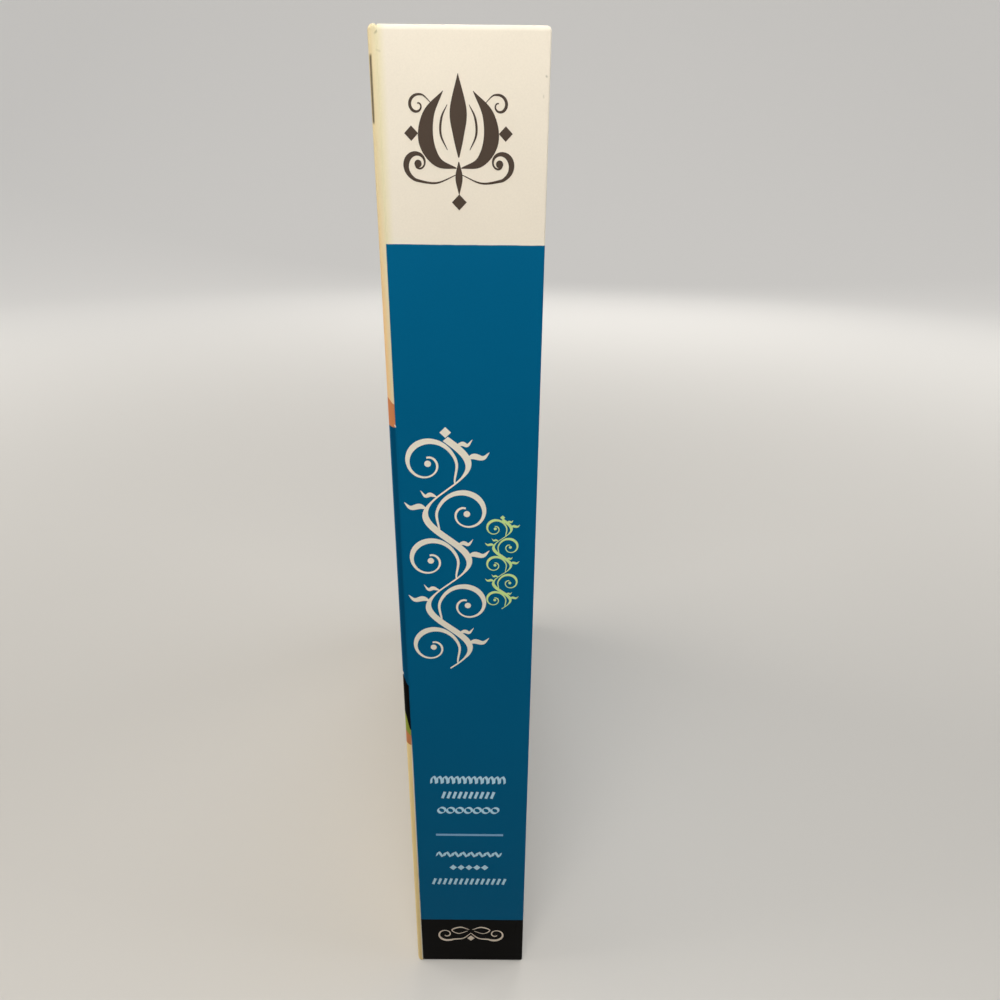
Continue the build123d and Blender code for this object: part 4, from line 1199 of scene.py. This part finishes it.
ruler_low, ruler_high = box_mm("ruler")
BEVEL_WIDTH, BEVEL_EDGE = 6.0, 0.7  # width of the bevel and thickness left at its edge
SCALE_START = ruler_low.z + 5.0
bevel_up = Vector((BEVEL_EDGE - (ruler_high.x - ruler_low.x), BEVEL_WIDTH, 0)).normalized()
bevel = InkedSheet((ruler_high.x - BEVEL_EDGE, ruler_low.y, 0), (0, 0, 1), bevel_up,
                   (-bevel_up.y, bevel_up.x, 0), "box", "ruler_plastic")
for millimetre in range(151):
    z, whole = SCALE_START + millimetre, millimetre % 10 == 0
    length = 5.4 if whole else 4.0 if millimetre % 5 == 0 else 2.8
    half = 0.1 if whole else 0.075
    bevel.slip([(z - half, 0.3), (z - half, length)], [(z + half, 0.3), (z + half, length)])
bevel.make("ruler_ticks", "black")

# %% Figures
FIGURE_SIZE, FIGURE_THICK = 3.4, 0.05
numeral_y = ruler_low.y + BEVEL_WIDTH + 2.6
points, faces = [], []
for centimetre in range(16):
    curve = bpy.data.curves.new("figure", "FONT")
    curve.body, curve.size, curve.extrude = str(centimetre), FIGURE_SIZE, FIGURE_THICK / 2
    curve.align_x, curve.align_y, curve.resolution_u = "CENTER", "CENTER", 4
    holder = bpy.data.objects.new("figure", curve)
    mesh = bpy.data.meshes.new_from_object(holder)
    shape = bmesh.new()
    shape.from_mesh(mesh)
    bmesh.ops.remove_doubles(shape, verts=shape.verts, dist=1e-5)
    start, z = len(points), SCALE_START + 10 * centimetre
    points += [Vector((ruler_low.x - v.co.z, numeral_y + v.co.y, z + v.co.x)) * MM for v in shape.verts]
    faces += [[start + v.index for v in face.verts] for face in shape.faces]
    shape.free()
    bpy.data.objects.remove(holder)
    bpy.data.meshes.remove(mesh)
    bpy.data.curves.remove(curve)
solid("ruler_figures", points, faces, INKS["black"], "box")

# %% [markdown]
# ## The guide book and the pad
# Both are paper blocks. A plain box reads as wood, because real leaves never line up, so each block
# is rebuilt from separate thin leaves whose free edges stray by a fraction of a millimetre. Bump
# alone would show lines but keep a dead straight outline.

# %% Leaves
page_stock = Finish("page_paper", 0.9)
tooth = page_stock.tooth(1400.0)
page_stock.colour(page_stock.mix(page_stock.spread(tooth["Tone"]), "#E4DFD2", "#F2EEE4"))
page_stock.relief(tooth["Height"], 0.3, 0.05)
LEAF_SHARE = 0.86  # of the pitch; the rest is air
LEAF_QUADS = (0, 1, 3, 2), (4, 6, 7, 5), (0, 4, 5, 1), (2, 3, 7, 6), (0, 2, 6, 4), (1, 5, 7, 3)


def leaf_block(name, node, leaves, stray, fold_radius=0.0):
    """Replaces a solid block of paper by leaves stacked along X; the fold, if any, is at low Y."""
    chance = random.Random(name)
    low, high = box_mm(node)
    pitch = (high.x - low.x) / leaves
    points, faces = [], []
    for leaf in range(leaves):
        x0, x1 = low.x + leaf * pitch, low.x + (leaf + LEAF_SHARE) * pitch
        depth = max(0.0, fold_radius - min(x0 - low.x, high.x - x1))
        rounding = fold_radius - math.sqrt(fold_radius ** 2 - depth ** 2)
        y0 = low.y + rounding + chance.uniform(0, stray * 0.3)
        y1, z0, z1 = (edge + sign * chance.uniform(0, stray)
                      for edge, sign in ((high.y, -1), (low.z, 1), (high.z, -1)))
        faces += [[len(points) + i for i in quad] for quad in LEAF_QUADS]
        points += [Vector((x, y, z)) * MM for x in (x0, x1) for y in (y0, y1) for z in (z0, z1)]
    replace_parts(solid(name, points, faces, page_stock.material, "box"), node)


leaf_block("guide_book_leaves", "guide_book_pages", 22, 0.22, 1.25)
leaf_block("pad_leaves", "pad_sheets", 40, 0.12)

# %% The book's cover
look = Finish("guide_book_card", 0.5, Specular_IOR_Level=0.25)
x, y, z = look.axes(look.point)
bands = ((88.0, BLACK), (92.0, ORANGE), (128.0, BLUE), (400.0, CREAM))
colour = look.uneven(stacked(look, look.times(z, 1000.0), bands), 0.12)
worn = look.worn((book_low + book_high) / 2, (book_high - book_low) / 2, 0.2)
look.colour(look.mix(look.times(worn, 0.4), colour, BARE_PAPER_AND_HIGHLIGHT))
creased = look.ramp(look.apart(y, (book_low.y + 6.0) * MM), 0.0, 0.5 * MM, -1.0, 0.0)
look.relief(look.plus(creased, look.times(look.tooth(1300.0)["Height"], 0.3)), 0.5, 0.1)
dress(look, "guide_book_cover")

middle = -(book_low.y + book_high.y) / 2
print_on("book", "guide_book_fleuron", "brown", (fleuron, (middle, 200.0), 30.0),
         (practice_row, "arches", (middle - 46, 140.0), middle + 46, 9.0, 1.9))
print_on("book", "guide_book_vine", "cream", (vine, (middle - 46, 110.0), 90.0, 14.0, 7, -90, 1.1))

# %% The pad's tape
THREAD = 0.5 * MM
look = Finish("binding_cloth", 0.8)
x, y, z = look.axes(look.point)
weave = look.times(look.wave(y, THREAD), look.wave(z, THREAD))
look.colour(look.mix(look.ramp(weave, -0.6, 0.6), "#131315", "#2A2A2E"))
look.relief(weave, 0.5, 0.06)
dress(look, "pad_tape")

# %% Write the sizes and finish
low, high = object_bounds()
print("visual size", [round((h - l) / MM, 2) for l, h in zip(low, high)])
